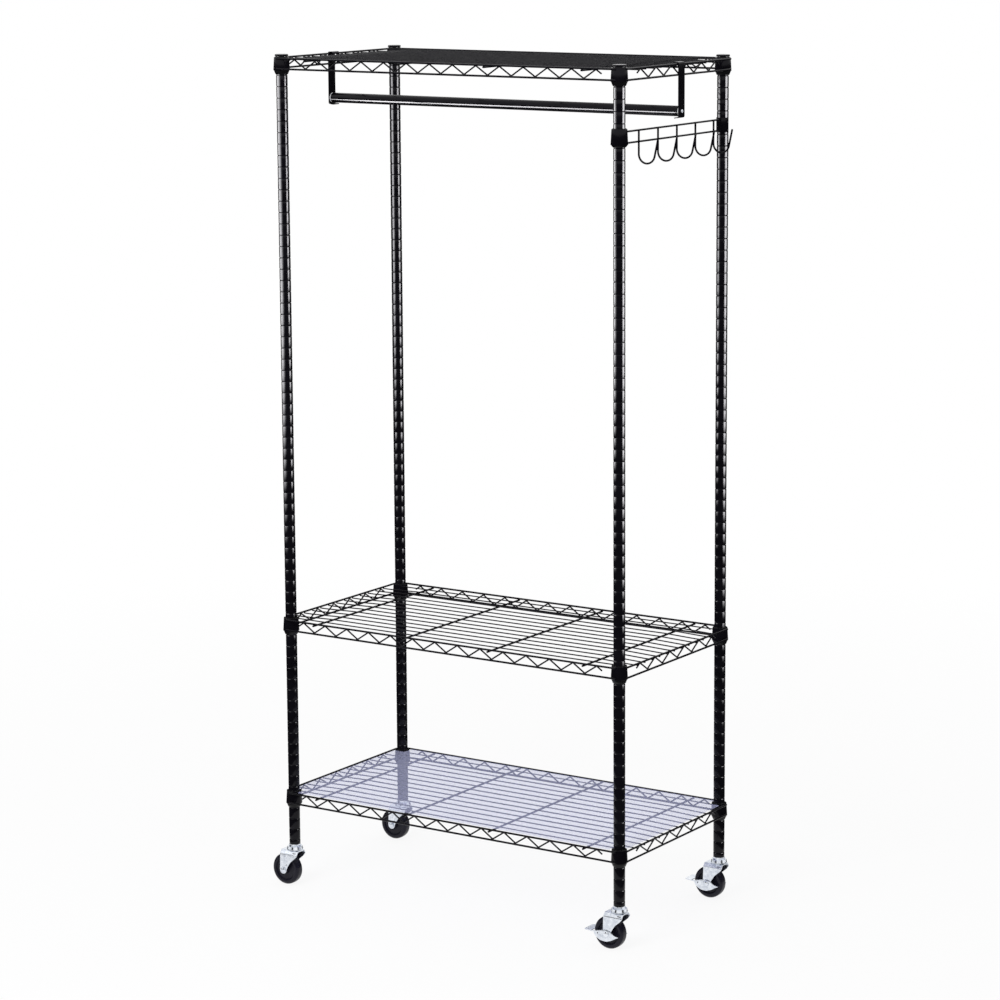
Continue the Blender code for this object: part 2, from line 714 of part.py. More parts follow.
def bracket_mesh(inner, bar_height, screw_bore):
    """A bent strap from the top shelf's side rail to under the bar. Heights are from the shelf's top."""
    outer = inner + STRAP_THICKNESS
    crown = -SIDE_RAIL_DROP + RAIL_RADIUS + FIT_GAP
    back = outer - STRAP_RETURN_INSET
    lip_top = bar_height - BAR_RADIUS - 2 * FIT_GAP
    return_low = crown - STRAP_RETURN_DROP
    outline = [
        (outer, lip_top - STRAP_THICKNESS),
        (outer, crown + STRAP_THICKNESS),
        (back, crown + STRAP_THICKNESS),
        (back, return_low),
        (back + STRAP_THICKNESS, return_low),
        (back + STRAP_THICKNESS, crown),
        (inner, crown),
        (inner, lip_top),
        (inner - STRAP_LIP, lip_top),
        (inner - STRAP_LIP, lip_top - STRAP_THICKNESS),
    ]
    strap = plate("strap", outline, -STRAP_WIDTH / 2, STRAP_WIDTH / 2)
    notch = plate(
        "notch",
        [
            (back - CUT_OVERRUN, return_low - CUT_OVERRUN),
            (back + STRAP_THICKNESS + CUT_OVERRUN, return_low - CUT_OVERRUN),
            (back + STRAP_THICKNESS + CUT_OVERRUN, return_low + STRAP_NOTCH_DEPTH),
            (back - CUT_OVERRUN, return_low + STRAP_NOTCH_DEPTH),
        ],
        -STRAP_NOTCH / 2,
        STRAP_NOTCH / 2,
    )
    hole = turned(
        "hole",
        [
            (0, -CUT_OVERRUN),
            (screw_bore, -CUT_OVERRUN),
            (screw_bore, CUT_OVERRUN + STRAP_THICKNESS),
            (0, CUT_OVERRUN + STRAP_THICKNESS),
        ],
        SMALL_SIDES,
    )
    hole = moved(hole, Matrix.Translation((inner, 0, bar_height)) @ Matrix.Rotation(math.pi / 2, 4, "Y"))
    return combined("bar_bracket", strap, [notch, hole], "DIFFERENCE")


def add_liner(film):
    """The clear liner laid on the bottom shelf, notched round the collars."""
    long_edge = HALF_X + RAIL_OFFSET - RAIL_RADIUS - LINER_EDGE_GAP
    side_edge = HALF_Y + RAIL_OFFSET - SNAKE_INSET - SNAKE_RADIUS - LINER_EDGE_GAP
    notch = COLLAR_LOW_RADIUS + LINER_CORNER_GAP
    inner_x, inner_y = HALF_X - notch, HALF_Y - notch
    quarter = [(long_edge, inner_y)]
    for step in range(LINER_CORNER_STEPS + 1):
        turn = math.pi / 2 * step / LINER_CORNER_STEPS
        quarter.append(
            (
                inner_x + LINER_CORNER_RADIUS * (1 - math.sin(turn)),
                inner_y + LINER_CORNER_RADIUS * (1 - math.cos(turn)),
            )
        )
    quarter.append((inner_x, side_edge))
    outline = []
    for along, across in ((1, 1), (-1, 1), (-1, -1), (1, -1)):
        corner = [(along * x, across * y) for x, y in quarter]
        outline += corner if along == across else corner[::-1]
    count = len(outline)
    points = [(x, y, 0) for x, y in outline] + [(x, y, LINER_THICKNESS) for x, y in outline]
    faces = [list(range(count)), list(range(count, 2 * count))]
    for step in range(count):
        nxt = (step + 1) % count
        faces.append([step, nxt, count + nxt, count + step])
    mesh = mesh_from("shelf_liner", points, faces)
    height = seat_top(SHELF_GROOVES["bottom"]) - DECK_DROP + DECK_RADIUS + FIT_GAP
    add_object("shelf_liner", mesh, film, (0, 0, height))


def wheel_mesh():
    """A caster wheel turned about its own axle, which lies along Y."""
    half = WHEEL_WIDTH / 2
    bore = AXLE_RADIUS + FIT_GAP
    rim = WHEEL_RADIUS - WHEEL_RIM_DEPTH
    side = [
        (bore, half + WHEEL_HUB_PROUD),
        (WHEEL_HUB_RADIUS, half + WHEEL_HUB_PROUD),
        (WHEEL_HUB_RADIUS, half - WHEEL_RECESS),
        (rim, half - WHEEL_RECESS),
        (rim, half),
        (WHEEL_RADIUS - WHEEL_EDGE_ROUND, half),
        (WHEEL_RADIUS, half - WHEEL_EDGE_ROUND),
    ]
    profile = side + [(radius, -height) for radius, height in side[::-1]]
    return moved(turned("caster_wheel", profile, WHEEL_SIDES), Matrix.Rotation(math.pi / 2, 4, "X"))


def axle_mesh(side_reach):
    """A riveted axle with a head at each end, along Y."""
    end = side_reach + FIT_GAP
    side = [
        (AXLE_RADIUS, end),
        (AXLE_HEAD_RADIUS, end),
        (AXLE_HEAD_RADIUS, end + AXLE_HEAD_HEIGHT / 2),
        (AXLE_HEAD_RADIUS / 2, end + AXLE_HEAD_HEIGHT),
        (0, end + AXLE_HEAD_HEIGHT),
    ]
    profile = [(radius, -height) for radius, height in side[::-1]] + side
    return moved(turned("caster_axle", profile, SMALL_SIDES), Matrix.Rotation(math.pi / 2, 4, "X"))


def fork_mesh():
    """A pressed fork about the swivel axis: two legs, a crown and a raised race. Heights are from the floor."""
    axle = (-CASTER_TRAIL, WHEEL_RADIUS)
    outline = [(-FORK_HEEL - FORK_TIP_RADIUS / 4, CROWN_TOP)]
    for step in range(FORK_CURVE_STEPS + 1):
        turn = math.pi + math.pi * step / FORK_CURVE_STEPS
        outline.append(
            (axle[0] + FORK_TIP_RADIUS * math.cos(turn), axle[1] + FORK_TIP_RADIUS * math.sin(turn))
        )
    start, end = Vector(outline[-1]), Vector((FORK_TOE, CROWN_UNDER - FORK_CROWN_WALL))
    waist = Vector((start.x + FORK_WAIST_SHARE * FORK_TIP_RADIUS, end.y - (end.y - start.y) * FORK_WAIST_SHARE))
    for step in range(1, FORK_CURVE_STEPS):
        share = step / FORK_CURVE_STEPS
        point = start * (1 - share) ** 2 + waist * 2 * share * (1 - share) + end * share**2
        outline.append((point.x, point.y))
    outline += [(end.x, end.y), (FORK_TOE, CROWN_TOP)]
    block = plate("fork", outline, -LEG_OUTER, LEG_OUTER)
    reach = FORK_HEEL + FORK_TOE + CUT_OVERRUN
    slot = plate(
        "slot",
        [(-reach, -CUT_OVERRUN), (reach, -CUT_OVERRUN), (reach, CROWN_UNDER), (-reach, CROWN_UNDER)],
        -LEG_INNER,
        LEG_INNER,
    )
    race = turned(
        "race",
        [
            (0, CROWN_TOP - WELD_SINK),
            (RACE_RADIUS, CROWN_TOP - WELD_SINK),
            (RACE_RADIUS * RACE_TOP_SHARE, CROWN_TOP + RACE_HEIGHT),
            (0, CROWN_TOP + RACE_HEIGHT),
        ],
        TUBE_SIDES,
    )
    pin_bore = KINGPIN_RADIUS + FIT_GAP
    bore = turned(
        "pin_bore",
        [
            (0, CROWN_UNDER - CUT_OVERRUN),
            (pin_bore, CROWN_UNDER - CUT_OVERRUN),
            (pin_bore, CROWN_TOP + RACE_HEIGHT + CUT_OVERRUN),
            (0, CROWN_TOP + RACE_HEIGHT + CUT_OVERRUN),
        ],
        TUBE_SIDES,
    )
    axle_bore = turned(
        "axle_bore",
        [
            (0, -LEG_OUTER - CUT_OVERRUN),
            (AXLE_RADIUS + FIT_GAP, -LEG_OUTER - CUT_OVERRUN),
            (AXLE_RADIUS + FIT_GAP, LEG_OUTER + CUT_OVERRUN),
            (0, LEG_OUTER + CUT_OVERRUN),
        ],
        SMALL_SIDES,
    )
    place = Matrix.Translation((axle[0], 0, axle[1])) @ Matrix.Rotation(math.pi / 2, 4, "X")
    shell = combined("fork_shell", block, [slot], "DIFFERENCE")
    shell = combined("fork_race", shell, [race], "UNION")
    return combined("caster_fork", shell, [bore, moved(axle_bore, place)], "DIFFERENCE")


def stem_mesh():
    """The threaded stem, its nut, the upper bearing cup and the kingpin riveted under the crown."""
    cup_top = CUP_UNDER + CUP_HEIGHT
    nut_top = CASTER_HEIGHT - FIT_GAP
    head_top = CROWN_UNDER - FIT_GAP
    profile = [
        (0, head_top - KINGPIN_HEAD_HEIGHT),
        (KINGPIN_HEAD_RADIUS, head_top - KINGPIN_HEAD_HEIGHT),
        (KINGPIN_HEAD_RADIUS, head_top),
        (KINGPIN_RADIUS, head_top),
        (KINGPIN_RADIUS, CUP_UNDER),
        (CUP_RADIUS, CUP_UNDER),
        (CUP_TOP_RADIUS, cup_top),
        (STEM_NUT_RADIUS, cup_top),
        (STEM_NUT_RADIUS, nut_top),
        (STEM_RADIUS, nut_top),
        (STEM_RADIUS, CASTER_HEIGHT + STEM_LENGTH - STEM_CHAMFER),
        (STEM_RADIUS - STEM_CHAMFER, CASTER_HEIGHT + STEM_LENGTH),
        (0, CASTER_HEIGHT + STEM_LENGTH),
    ]
    return turned("caster_stem", profile, TUBE_SIDES)


def pedal_mesh():
    """A brake pedal about the axle: a boat-shaped cheek outside each leg and a toe tab behind the wheel."""
    inner, outer = LEG_OUTER + FIT_GAP, LEG_OUTER + FIT_GAP + PEDAL_WALL
    tab_start = WHEEL_RADIUS + PEDAL_TREAD_GAP
    tab_end = tab_start + PEDAL_TAB_LENGTH
    outline = [
        (-tab_end, PEDAL_TAB_HEIGHT + PEDAL_TAB_LIFT),
        (-tab_start, PEDAL_TAB_HEIGHT),
        (-PEDAL_HALF_LENGTH, PEDAL_TAB_HEIGHT - PEDAL_TAB_WALL),
    ]
    for step in range(1, PEDAL_CURVE_STEPS):
        turn = math.pi + math.pi * step / PEDAL_CURVE_STEPS
        outline.append((PEDAL_HALF_LENGTH * math.cos(turn), PEDAL_FALL * math.sin(turn)))
    outline += [
        (PEDAL_HALF_LENGTH, -PEDAL_FALL / 2),
        (PEDAL_HALF_LENGTH / 2, -PEDAL_FALL / 3),
        (PEDAL_RISE, PEDAL_RISE),
        (-PEDAL_RISE, PEDAL_RISE),
        (-tab_start, PEDAL_TAB_HEIGHT + PEDAL_TAB_WALL),
        (-tab_end, PEDAL_TAB_HEIGHT + PEDAL_TAB_LIFT + PEDAL_TAB_WALL),
    ]
    block = plate("pedal", outline, -outer, outer)
    slot = plate(
        "pedal_slot",
        [
            (-tab_start, -PEDAL_FALL - CUT_OVERRUN),
            (PEDAL_HALF_LENGTH + CUT_OVERRUN, -PEDAL_FALL - CUT_OVERRUN),
            (PEDAL_HALF_LENGTH + CUT_OVERRUN, PEDAL_RISE + CUT_OVERRUN),
            (-tab_start, PEDAL_RISE + CUT_OVERRUN),
        ],
        -inner,
        inner,
    )
    bore = turned(
        "pedal_bore",
        [
            (0, -outer - CUT_OVERRUN),
            (AXLE_RADIUS + FIT_GAP, -outer - CUT_OVERRUN),
            (AXLE_RADIUS + FIT_GAP, outer + CUT_OVERRUN),
            (0, outer + CUT_OVERRUN),
        ],
        SMALL_SIDES,
    )
    return combined(
        "brake_pedal", block, [slot, moved(bore, Matrix.Rotation(math.pi / 2, 4, "X"))], "DIFFERENCE"
    )


def add_casters(bright, rubber):
    """Four swivel casters, their wheels trailing towards -X, with a brake pedal on the two at +X."""
    fork, stem, wheel = fork_mesh(), stem_mesh(), wheel_mesh()
    plain_axle = axle_mesh(LEG_OUTER)
    braked_axle = axle_mesh(LEG_OUTER + FIT_GAP + PEDAL_WALL)
    pedal = pedal_mesh()
    for corner, (along, across) in CORNERS.items():
        x, y = along * HALF_X, across * HALF_Y
        add_object("caster_stem_" + corner, stem, bright, (x, y, 0))
        swivel = add_empty("swivel_" + corner, (x, y, 0))
        add_object("caster_fork_" + corner, fork, bright, parent=swivel)
        hub = add_empty("hub_" + corner, (-CASTER_TRAIL, 0, WHEEL_RADIUS), swivel)
        axle = braked_axle if corner in BRAKED else plain_axle
        add_object("caster_axle_" + corner, axle, bright, parent=hub)
        add_object("caster_wheel_" + corner, wheel, rubber, parent=hub)
        if corner in BRAKED:
            add_object("brake_pedal_" + corner, pedal, bright, parent=hub)


def main():
    clear_scene()
    coat = make_material("black_powder_coat", BLACK_COAT, 0.28, 0.0, 0.4)
    plastic = make_material("black_plastic", BLACK_PLASTIC, 0.45, 0.0)
    dark_steel = make_material("threaded_steel", ZINC, 0.40, 1.0)
    bright = make_material("bright_zinc", ZINC, 0.22, 1.0)
    rubber = make_material("wheel_polymer", WHEEL_RUBBER, 0.38, 0.0)
    film = make_material("liner_film", LINER_TINT, 0.15, 0.0)
    film.node_tree.nodes["Principled BSDF"].inputs["Alpha"].default_value = 0.45
    pale = make_material("pale_plastic", PALE_PLUG, 0.35, 0.0)
    add_posts(coat, dark_steel)
    add_sleeves(plastic)
    add_shelves(coat)
    add_hook_rail(coat)
    add_bar(coat, pale, bright)
    add_liner(film)
    add_casters(bright, rubber)


main()
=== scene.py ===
"""Rolling clothes rack: detailed pieces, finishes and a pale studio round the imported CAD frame.

+Z up, +X along the rack towards the hook rail, -Y the front. The origin is on the floor. Pieces are
worked out in millimetres, which add_piece turns into metres. Settings and the studio are in metres.
"""

import json
import math
from types import SimpleNamespace

import bpy
import numpy as np
from mathutils import Matrix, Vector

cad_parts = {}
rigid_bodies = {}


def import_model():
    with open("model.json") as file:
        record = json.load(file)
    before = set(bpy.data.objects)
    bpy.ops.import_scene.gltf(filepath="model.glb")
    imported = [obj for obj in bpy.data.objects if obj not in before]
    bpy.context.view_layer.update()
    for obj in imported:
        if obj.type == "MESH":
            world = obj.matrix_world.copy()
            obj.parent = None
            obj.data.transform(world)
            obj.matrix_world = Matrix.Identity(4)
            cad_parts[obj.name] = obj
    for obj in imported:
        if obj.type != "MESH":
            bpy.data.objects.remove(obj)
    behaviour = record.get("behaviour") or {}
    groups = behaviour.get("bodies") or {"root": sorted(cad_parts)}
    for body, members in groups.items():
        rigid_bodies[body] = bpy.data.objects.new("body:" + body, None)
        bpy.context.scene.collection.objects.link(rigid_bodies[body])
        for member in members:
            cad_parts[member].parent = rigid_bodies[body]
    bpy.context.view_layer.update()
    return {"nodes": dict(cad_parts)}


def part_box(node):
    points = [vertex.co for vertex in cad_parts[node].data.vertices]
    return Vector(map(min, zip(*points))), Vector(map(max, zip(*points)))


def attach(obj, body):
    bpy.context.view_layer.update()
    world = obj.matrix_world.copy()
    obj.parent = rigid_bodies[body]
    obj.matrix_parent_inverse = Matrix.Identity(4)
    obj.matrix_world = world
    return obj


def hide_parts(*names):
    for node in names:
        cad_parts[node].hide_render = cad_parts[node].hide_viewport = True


bl_info = {
    "name": "Rolling Clothes Rack",
    "version": (1, 0, 0),
    "blender": (4, 5, 0),
    "location": "3D View > Sidebar > Clothes Rack",
    "description": "Grooved posts, welded wire shelves, a hanging bar, a hook rail and swivel casters",
    "category": "Add Mesh",
}

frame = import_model()

MM = 0.001
CORNERS = {"front_left": (-1, -1), "front_right": (1, -1), "back_left": (-1, 1), "back_right": (1, 1)}
BRAKED = ("front_right", "back_right")
ENDS = {"left": -1, "right": 1}
LEVELS = ("bottom", "middle", "top")
CROSS_SHARES = (0.09, 0.37, 0.63, 0.91)


def middle_of(node):
    """Middle of a CAD node's box, in millimetres."""
    low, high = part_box(node)
    return np.array((low + high) / 2) / MM


def heights_of(node):
    """Lowest and highest point of a CAD node, in millimetres."""
    return [corner.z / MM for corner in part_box(node)]


HALF_X, HALF_Y = middle_of("post_lower_back_right")[:2]
FOOT, JOINT_LOW = heights_of("post_lower_back_right")
JOINT_HIGH, POST_TOP = heights_of("post_upper_back_right")
SEATS = {level: heights_of("shelf_" + level)[1] for level in LEVELS}
HOOK_SEAT = heights_of("hook_rail")[1]
BAR_AXIS = middle_of("hanging_bar")[2]
BAR_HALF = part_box("hanging_bar")[1].x / MM
STRAP_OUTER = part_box("bar_bracket_right")[1].x / MM
LINER_LOW = heights_of("shelf_liner")[0]

GAP = 0.3  # between separate pieces
WELD = 0.6  # from a sleeve to the end of a wire in its collar's wall
THIN_SIDES = 10


def at_corners(height=0.0, shift=0.0):
    """Each corner's name and a place on its post's axis, at a height and shifted along X."""
    for corner, (along, across) in CORNERS.items():
        yield corner, (along * HALF_X + shift, across * HALF_Y, height)


# Settings


def linear(code):
    """Linear RGB of an sRGB hex code: share / 12.92 up to 0.04045, else ((share + 0.055) / 1.055) ** 2.4."""
    shares = np.array([int(code[start:start + 2], 16) for start in (0, 2, 4)]) / 255
    return tuple(np.where(shares <= 0.04045, shares / 12.92, ((shares + 0.055) / 1.055) ** 2.4))


def length(name, description, millimetres):
    """A size setting. It is given in millimetres and kept in metres."""
    return bpy.props.FloatProperty(
        name=name, description=description, default=millimetres * MM, min=0.0, unit="LENGTH", precision=4
    )


def number(name, description, default):
    """A count setting."""
    return bpy.props.IntProperty(name=name, description=description, default=default, min=1)


def light(name, description, default):
    """A setting of how strong a light is."""
    return bpy.props.FloatProperty(name=name, description=description, default=default, min=0.0)


def colour(name, description, code):
    """A colour setting from an sRGB hex code."""
    return bpy.props.FloatVectorProperty(
        name=name, description=description, default=linear(code), size=3, min=0.0, max=1.0, subtype="COLOR"
    )


def sizes_of(group):
    """The settings of one of the scene's groups, with lengths in millimetres and counts as they are."""
    settings, found = getattr(bpy.context.scene, group), {}
    for key in type(settings).__annotations__:
        value = getattr(settings, key)
        found[key] = value if isinstance(value, int) else value / MM
    return SimpleNamespace(**found)


class PostSettings(bpy.types.PropertyGroup):
    """Sizes of the grooved posts and their caps."""

    radius: length("Post radius", "Outer radius of the tube", 12.7)
    wall: length("Wall", "Wall of the tube", 1.2)
    groove_pitch: length("Groove pitch", "Height from one groove to the next", 25.4)
    groove_first: length("First groove", "Height of the lowest groove above the post's foot", 10.7)
    groove_depth: length("Groove depth", "Depth of a rolled groove", 0.8)
    groove_half: length("Groove half width", "Half the height of a rolled groove", 1.6)
    edge: length("End rounding", "Rounding of the cut ends", 0.5)
    taper: length("Bore taper", "Height over which the bore narrows at an insert", 2.0)
    foot_bore: length("Foot bore", "Radius inside the pressed-in foot insert", 5.3)
    foot_depth: length("Foot insert", "Length of the foot insert", 26.0)
    joiner_bore: length("Joiner bore", "Radius inside the threaded end of a post length", 8.8)
    joiner_depth: length("Joiner depth", "Length of the threaded end of a post length", 24.3)
    cap_height: length("Cap height", "Height of the domed cap above the post", 4.2)
    cap_plug: length("Cap plug", "Length of the cap's plug inside the post", 12.0)
    cap_radius: length("Cap radius", "Outer radius of the cap", 15.0)


class ShelfSettings(bpy.types.PropertyGroup):
    """Sizes of the welded wire shelves and of their split sleeves."""

    rail: length("Rail radius", "Radius of the rails and cross wires", 2.2)
    deck: length("Deck wire radius", "Radius of the deck wires", 1.45)
    zigzag: length("Zigzag radius", "Radius of the zigzag wires", 1.75)
    deck_wires: number("Deck wires", "Number of long deck wires", 14)
    long_drop: length("Long rail drop", "Long top rail below the collar's top", 3.0)
    deck_drop: length("Deck drop", "Deck wires below the collar's top", 3.7)
    side_drop: length("Side rail drop", "Side top rail below the collar's top", 3.0)
    cross_drop: length("Cross wire drop", "Cross wires below the collar's top", 7.1)
    low_drop: length("Lower rail drop", "Lower rails below the collar's top", 25.8)
    dip_run: length("Dip run", "Low end of a deck wire's dip inside the side rail", 20.0)
    dip_end: length("Dip end", "End of a deck wire outside the side rail", 0.8)
    dip_bend: length("Dip bend", "Bend radius of a deck wire's dip", 60.0)
    rail_offset: length("Rail offset", "Rails outside the post axes", 18.7)
    rail_overhang: length("Rail overhang", "Rail ends past the post axes", 1.0)
    nub: length("Cross wire nub", "Cross wire ends past the long rails", 5.0)
    inset: length("Zigzag inset", "Zigzag wires inside the rails", 3.2)
    tuck: length("Zigzag tuck", "Zigzag bends short of the rails' middles", 2.1)
    bend: length("Zigzag bend", "Bend radius of the zigzag wires", 3.2)
    long_peaks: number("Long peaks", "Zigzag peaks along the front and the back", 14)
    long_margin: length("Long margin", "Post axis to the first peak, front and back", 47.3)
    side_peaks: number("Side peaks", "Zigzag peaks along each side", 6)
    side_margin: length("Side margin", "Post axis to the first peak, at the sides", 59.0)
    collar_height: length("Collar height", "Height of a steel collar", 29.6)
    collar_top: length("Collar top radius", "Outer radius at the collar's top", 16.7)
    collar_low: length("Collar low radius", "Outer radius at the collar's foot", 18.5)
    bore_top: length("Collar bore, top", "Inner radius at the collar's top", 14.7)
    bore_low: length("Collar bore, foot", "Inner radius at the collar's foot", 15.7)
    sleeve_bore: length("Sleeve bore", "Inner radius of a split sleeve", 13.0)
    sleeve_top: length("Sleeve top radius", "Outer radius of a sleeve's rim", 14.4)
    sleeve_low: length("Sleeve low radius", "Outer radius of a sleeve at the collar's foot", 15.4)
    sleeve_height: length("Sleeve height", "Height of a sleeve below the collar's top", 38.0)
    sleeve_rim: length("Sleeve rim", "Rim above the collar", 1.2)
    sleeve_slit: length("Sleeve slit", "Width of the slit between the sleeve's halves", 4.0)


class HookSettings(bpy.types.PropertyGroup):
    """Sizes of the side hook rail."""

    wire: length("Wire radius", "Radius of the hook rail's wires", 2.1)
    collar_height: length("Collar height", "Height of the hook rail's collar", 33.6)
    rise: length("Top wire rise", "Top wire above the sleeve's middle", 11.4)
    drop: length("Low wire drop", "Low wire below the sleeve's middle", 12.5)
    hooks: number("Hooks", "Number of coat hooks", 5)
    first: length("First hook", "Front post axis to the first hook", 71.7)
    last: length("Last hook", "Last hook to the back post axis", 46.8)
    depth: length("Hook depth", "Hook bend below the low wire", 45.0)
    reach: length("Hook reach", "Hook tip outside the hook's back", 46.7)
    tip: length("Tip rise", "Hook tip above the low wire", 7.0)
    bend: length("Hook bend", "Bend radius of a hook", 19.5)
    clip_wall: length("Clip wall", "Wall of the saddle clip on the back post", 1.2)
    clip_margin: length("Clip margin", "Saddle clip past the wires", 4.0)


class BarSettings(bpy.types.PropertyGroup):
    """Sizes of the hanging bar, its plugs, brackets and screws, and of the liner."""

    radius: length("Bar radius", "Outer radius of the hanging bar", 11.25)
    wall: length("Bar wall", "Wall of the hanging bar", 1.2)
    plug_depth: length("Plug depth", "Length of a plug inside the bar", 15.0)
    flange: length("Plug flange", "Thickness of the plug's visible ring", 2.2)
    strap: length("Strap thickness", "Thickness of the bracket strap", 2.0)
    strap_width: length("Strap width", "Width of the bracket strap", 25.0)
    lip: length("Lip", "Reach of the lip under the bar", 11.0)
    lip_fall: length("Lip fall", "Fall of the lip's tip", 1.6)
    hook_inset: length("Return inset", "Strap's return inside its outer face", 14.0)
    hook_drop: length("Return drop", "Drop of the strap's return", 12.0)
    notch: length("Notch width", "Width of the notch in the return", 10.0)
    notch_depth: length("Notch depth", "Depth of the notch in the return", 9.0)
    strap_corner: length("Strap corners", "Radius of the strap's free corners", 3.0)
    screw: length("Screw radius", "Radius of the end screws", 2.0)
    screw_head: length("Screw head", "Radius of the end screws' heads", 4.0)
    screw_rise: length("Screw head rise", "Height of the end screws' heads", 2.2)
    screw_length: length("Screw length", "Length of the end screws below their heads", 13.0)
    recess: length("Screw recess", "Depth of the cross in the screws' heads", 1.2)
    liner_x: length("Liner half length", "Half the liner's length", 449.0)
    liner_y: length("Liner half width", "Half the liner's width", 227.0)
    liner_cut: length("Liner corner", "Corner cut-out from the post axis", 19.0)
    liner_sheet: length("Liner sheet", "Thickness of the liner", 0.9)


class CasterSettings(bpy.types.PropertyGroup):
    """Sizes of the swivel casters and the brake pedals."""

    wheel: length("Wheel radius", "Radius of the tread", 36.5)
    width: length("Wheel width", "Width of the tread", 22.0)
    trail: length("Trail", "Axle behind the swivel axis", 22.0)
    hub: length("Hub radius", "Radius of the hub boss", 10.0)
    hub_proud: length("Hub boss", "Hub boss proud of the tread's side", 2.8)
    recess: length("Recess", "Depth of the wheel's side recess", 4.0)
    rim: length("Rim depth", "Radial depth of the tyre ring", 10.5)
    leg: length("Leg line", "Middle of a fork leg from the swivel plane", 16.9)
    sheet: length("Fork sheet", "Thickness of the pressed fork", 2.2)
    tip: length("Fork tip", "Radius of a leg's rounded tip", 9.2)
    crown: length("Crown", "Height of the middle of the crown's sheet", 83.0)
    crease: length("Leg crease", "Depth of the crease in a fork leg", 0.9)
    cup_low: length("Cup foot", "Height of the bearing cup's foot", 84.7)
    cup_height: length("Cup height", "Height of the bearing cup", 9.0)
    cup_radius: length("Cup radius", "Radius of the bearing cup's foot", 19.0)
    cup_top: length("Cup top radius", "Radius of the bearing cup's top ring", 17.4)
    ball: length("Ball radius", "Radius of the balls under the cup", 1.3)
    ball_ring: length("Ball ring", "Radius of the ring of balls", 15.6)
    nut: length("Nut half width", "Half the nut's width across its flats", 11.6)
    nut_height: length("Nut height", "Height of the nut", 5.0)
    axle: length("Axle radius", "Radius of the riveted axle", 4.0)
    rivet: length("Rivet head", "Radius of a rivet head", 6.8)
    rivet_height: length("Rivet height", "Height of a rivet head", 3.6)
    pedal: length("Pedal sheet", "Thickness of a pedal cheek", 1.5)


class FinishSettings(bpy.types.PropertyGroup):
    """Colours of the finishes."""

    coat: colour("Powder coat", "Gloss black powder coat", "09080c")
    coat_worn: colour("Powder coat, dusted", "Powder coat where dust dulls it", "121117")
    plastic: colour("Sleeve plastic", "Moulded black plastic", "0b0b0d")
    zinc: colour("Zinc", "Bright zinc plating", "eef2f8")
    zinc_dull: colour("Zinc, dulled", "Zinc plating where it has dulled", "cdd3dd")
    wheel: colour("Wheel", "Moulded wheel polymer", "11101a")
    wheel_tread: colour("Wheel, rolled", "Wheel polymer with rolled-in dust", "1b1926")
    film: colour("Liner", "Clear liner sheet", "d6daff")
    pale: colour("Bar plug", "Pale plug in the bar's ends", "dcdcdf")
    steel: colour("Joiner steel", "Plain steel of the threaded joiners", "b9bbc0")


class StudioSettings(bpy.types.PropertyGroup):
    """Strengths and colours of the studio."""

    fill: light("Fill light", "World strength on matte surfaces", 0.7)
    key: light("Key light", "Brightness of the soft key light", 9.0)
    left_band: light("Left softbox", "Brightness of the left softbox in reflections", 30.0)
    right_band: light("Right softbox", "Brightness of the right softbox in reflections", 40.0)
    bar_line: light("Low strip", "Brightness of the low strip light in the hanging bar", 60.0)
    card: light("Zinc cards", "Brightness of each plain card in the zinc", 1.0)
    floor: colour("Floor", "Pale studio floor", "f7f7f8")
    flag: colour("Flags", "Dark studio flags seen only in reflections", "08080a")


# Surfaces worked out as whole arrays. A shell is (points, [face indices, one array for each face size]).


def grid_faces(rows, columns, wrap_rows=False, wrap_columns=False):
    """Quads between neighbouring rows and columns of a grid, which may close on itself either way."""
    row, column = np.meshgrid(
        np.arange(rows if wrap_rows else rows - 1), np.arange(columns if wrap_columns else columns - 1),
        indexing="ij",
    )
    below, right = (row + 1) % rows, (column + 1) % columns
    quads = [row * columns + column, row * columns + right, below * columns + right, below * columns + column]
    return np.stack(quads, -1).reshape(-1, 4)


def outward(shell):
    """The shell with its faces pointing outwards. A closed surface's volume is a sixth of the sum of
    a . (b x c) over its triangles, and it is negative when the faces point inwards."""
    points, faces = shell
    total = 0.0
    for group in faces:
        first = points[group[:, 0]]
        for step in range(1, group.shape[1] - 1):
            total += np.sum(first * np.cross(points[group[:, step]], points[group[:, step + 1]]))
    return (points, [group[:, ::-1] for group in faces]) if total < 0 else shell


def joined(*shells):
    """Several shells as one, each one's face indices moved past the points of those before it."""
    starts = np.cumsum([0] + [len(points) for points, _ in shells])
    faces = [group + start for (_, groups), start in zip(shells, starts) for group in groups]
    return np.concatenate([points for points, _ in shells]), faces


def moved(shell, place):
    """The shell with every point shifted by the same amounts."""
    return shell[0] + np.asarray(place, float), shell[1]


def along_x(shell, side=1):
    """A shell made round Z laid along X, turned half round Z for side -1. Axes swap in a cycle."""
    return shell[0][:, [2, 0, 1]] * (side, side, 1), shell[1]


def along_y(shell):
    """A shell made round Z laid along Y. Axes swap in a cycle."""
    return shell[0][:, [1, 2, 0]], shell[1]


def grid_of(xs, ys, height):
    """Every (x, y, height) of some x and y."""
    x, y = np.meshgrid(xs, ys)
    return np.column_stack([x.ravel(), y.ravel(), np.full(x.size, height)])


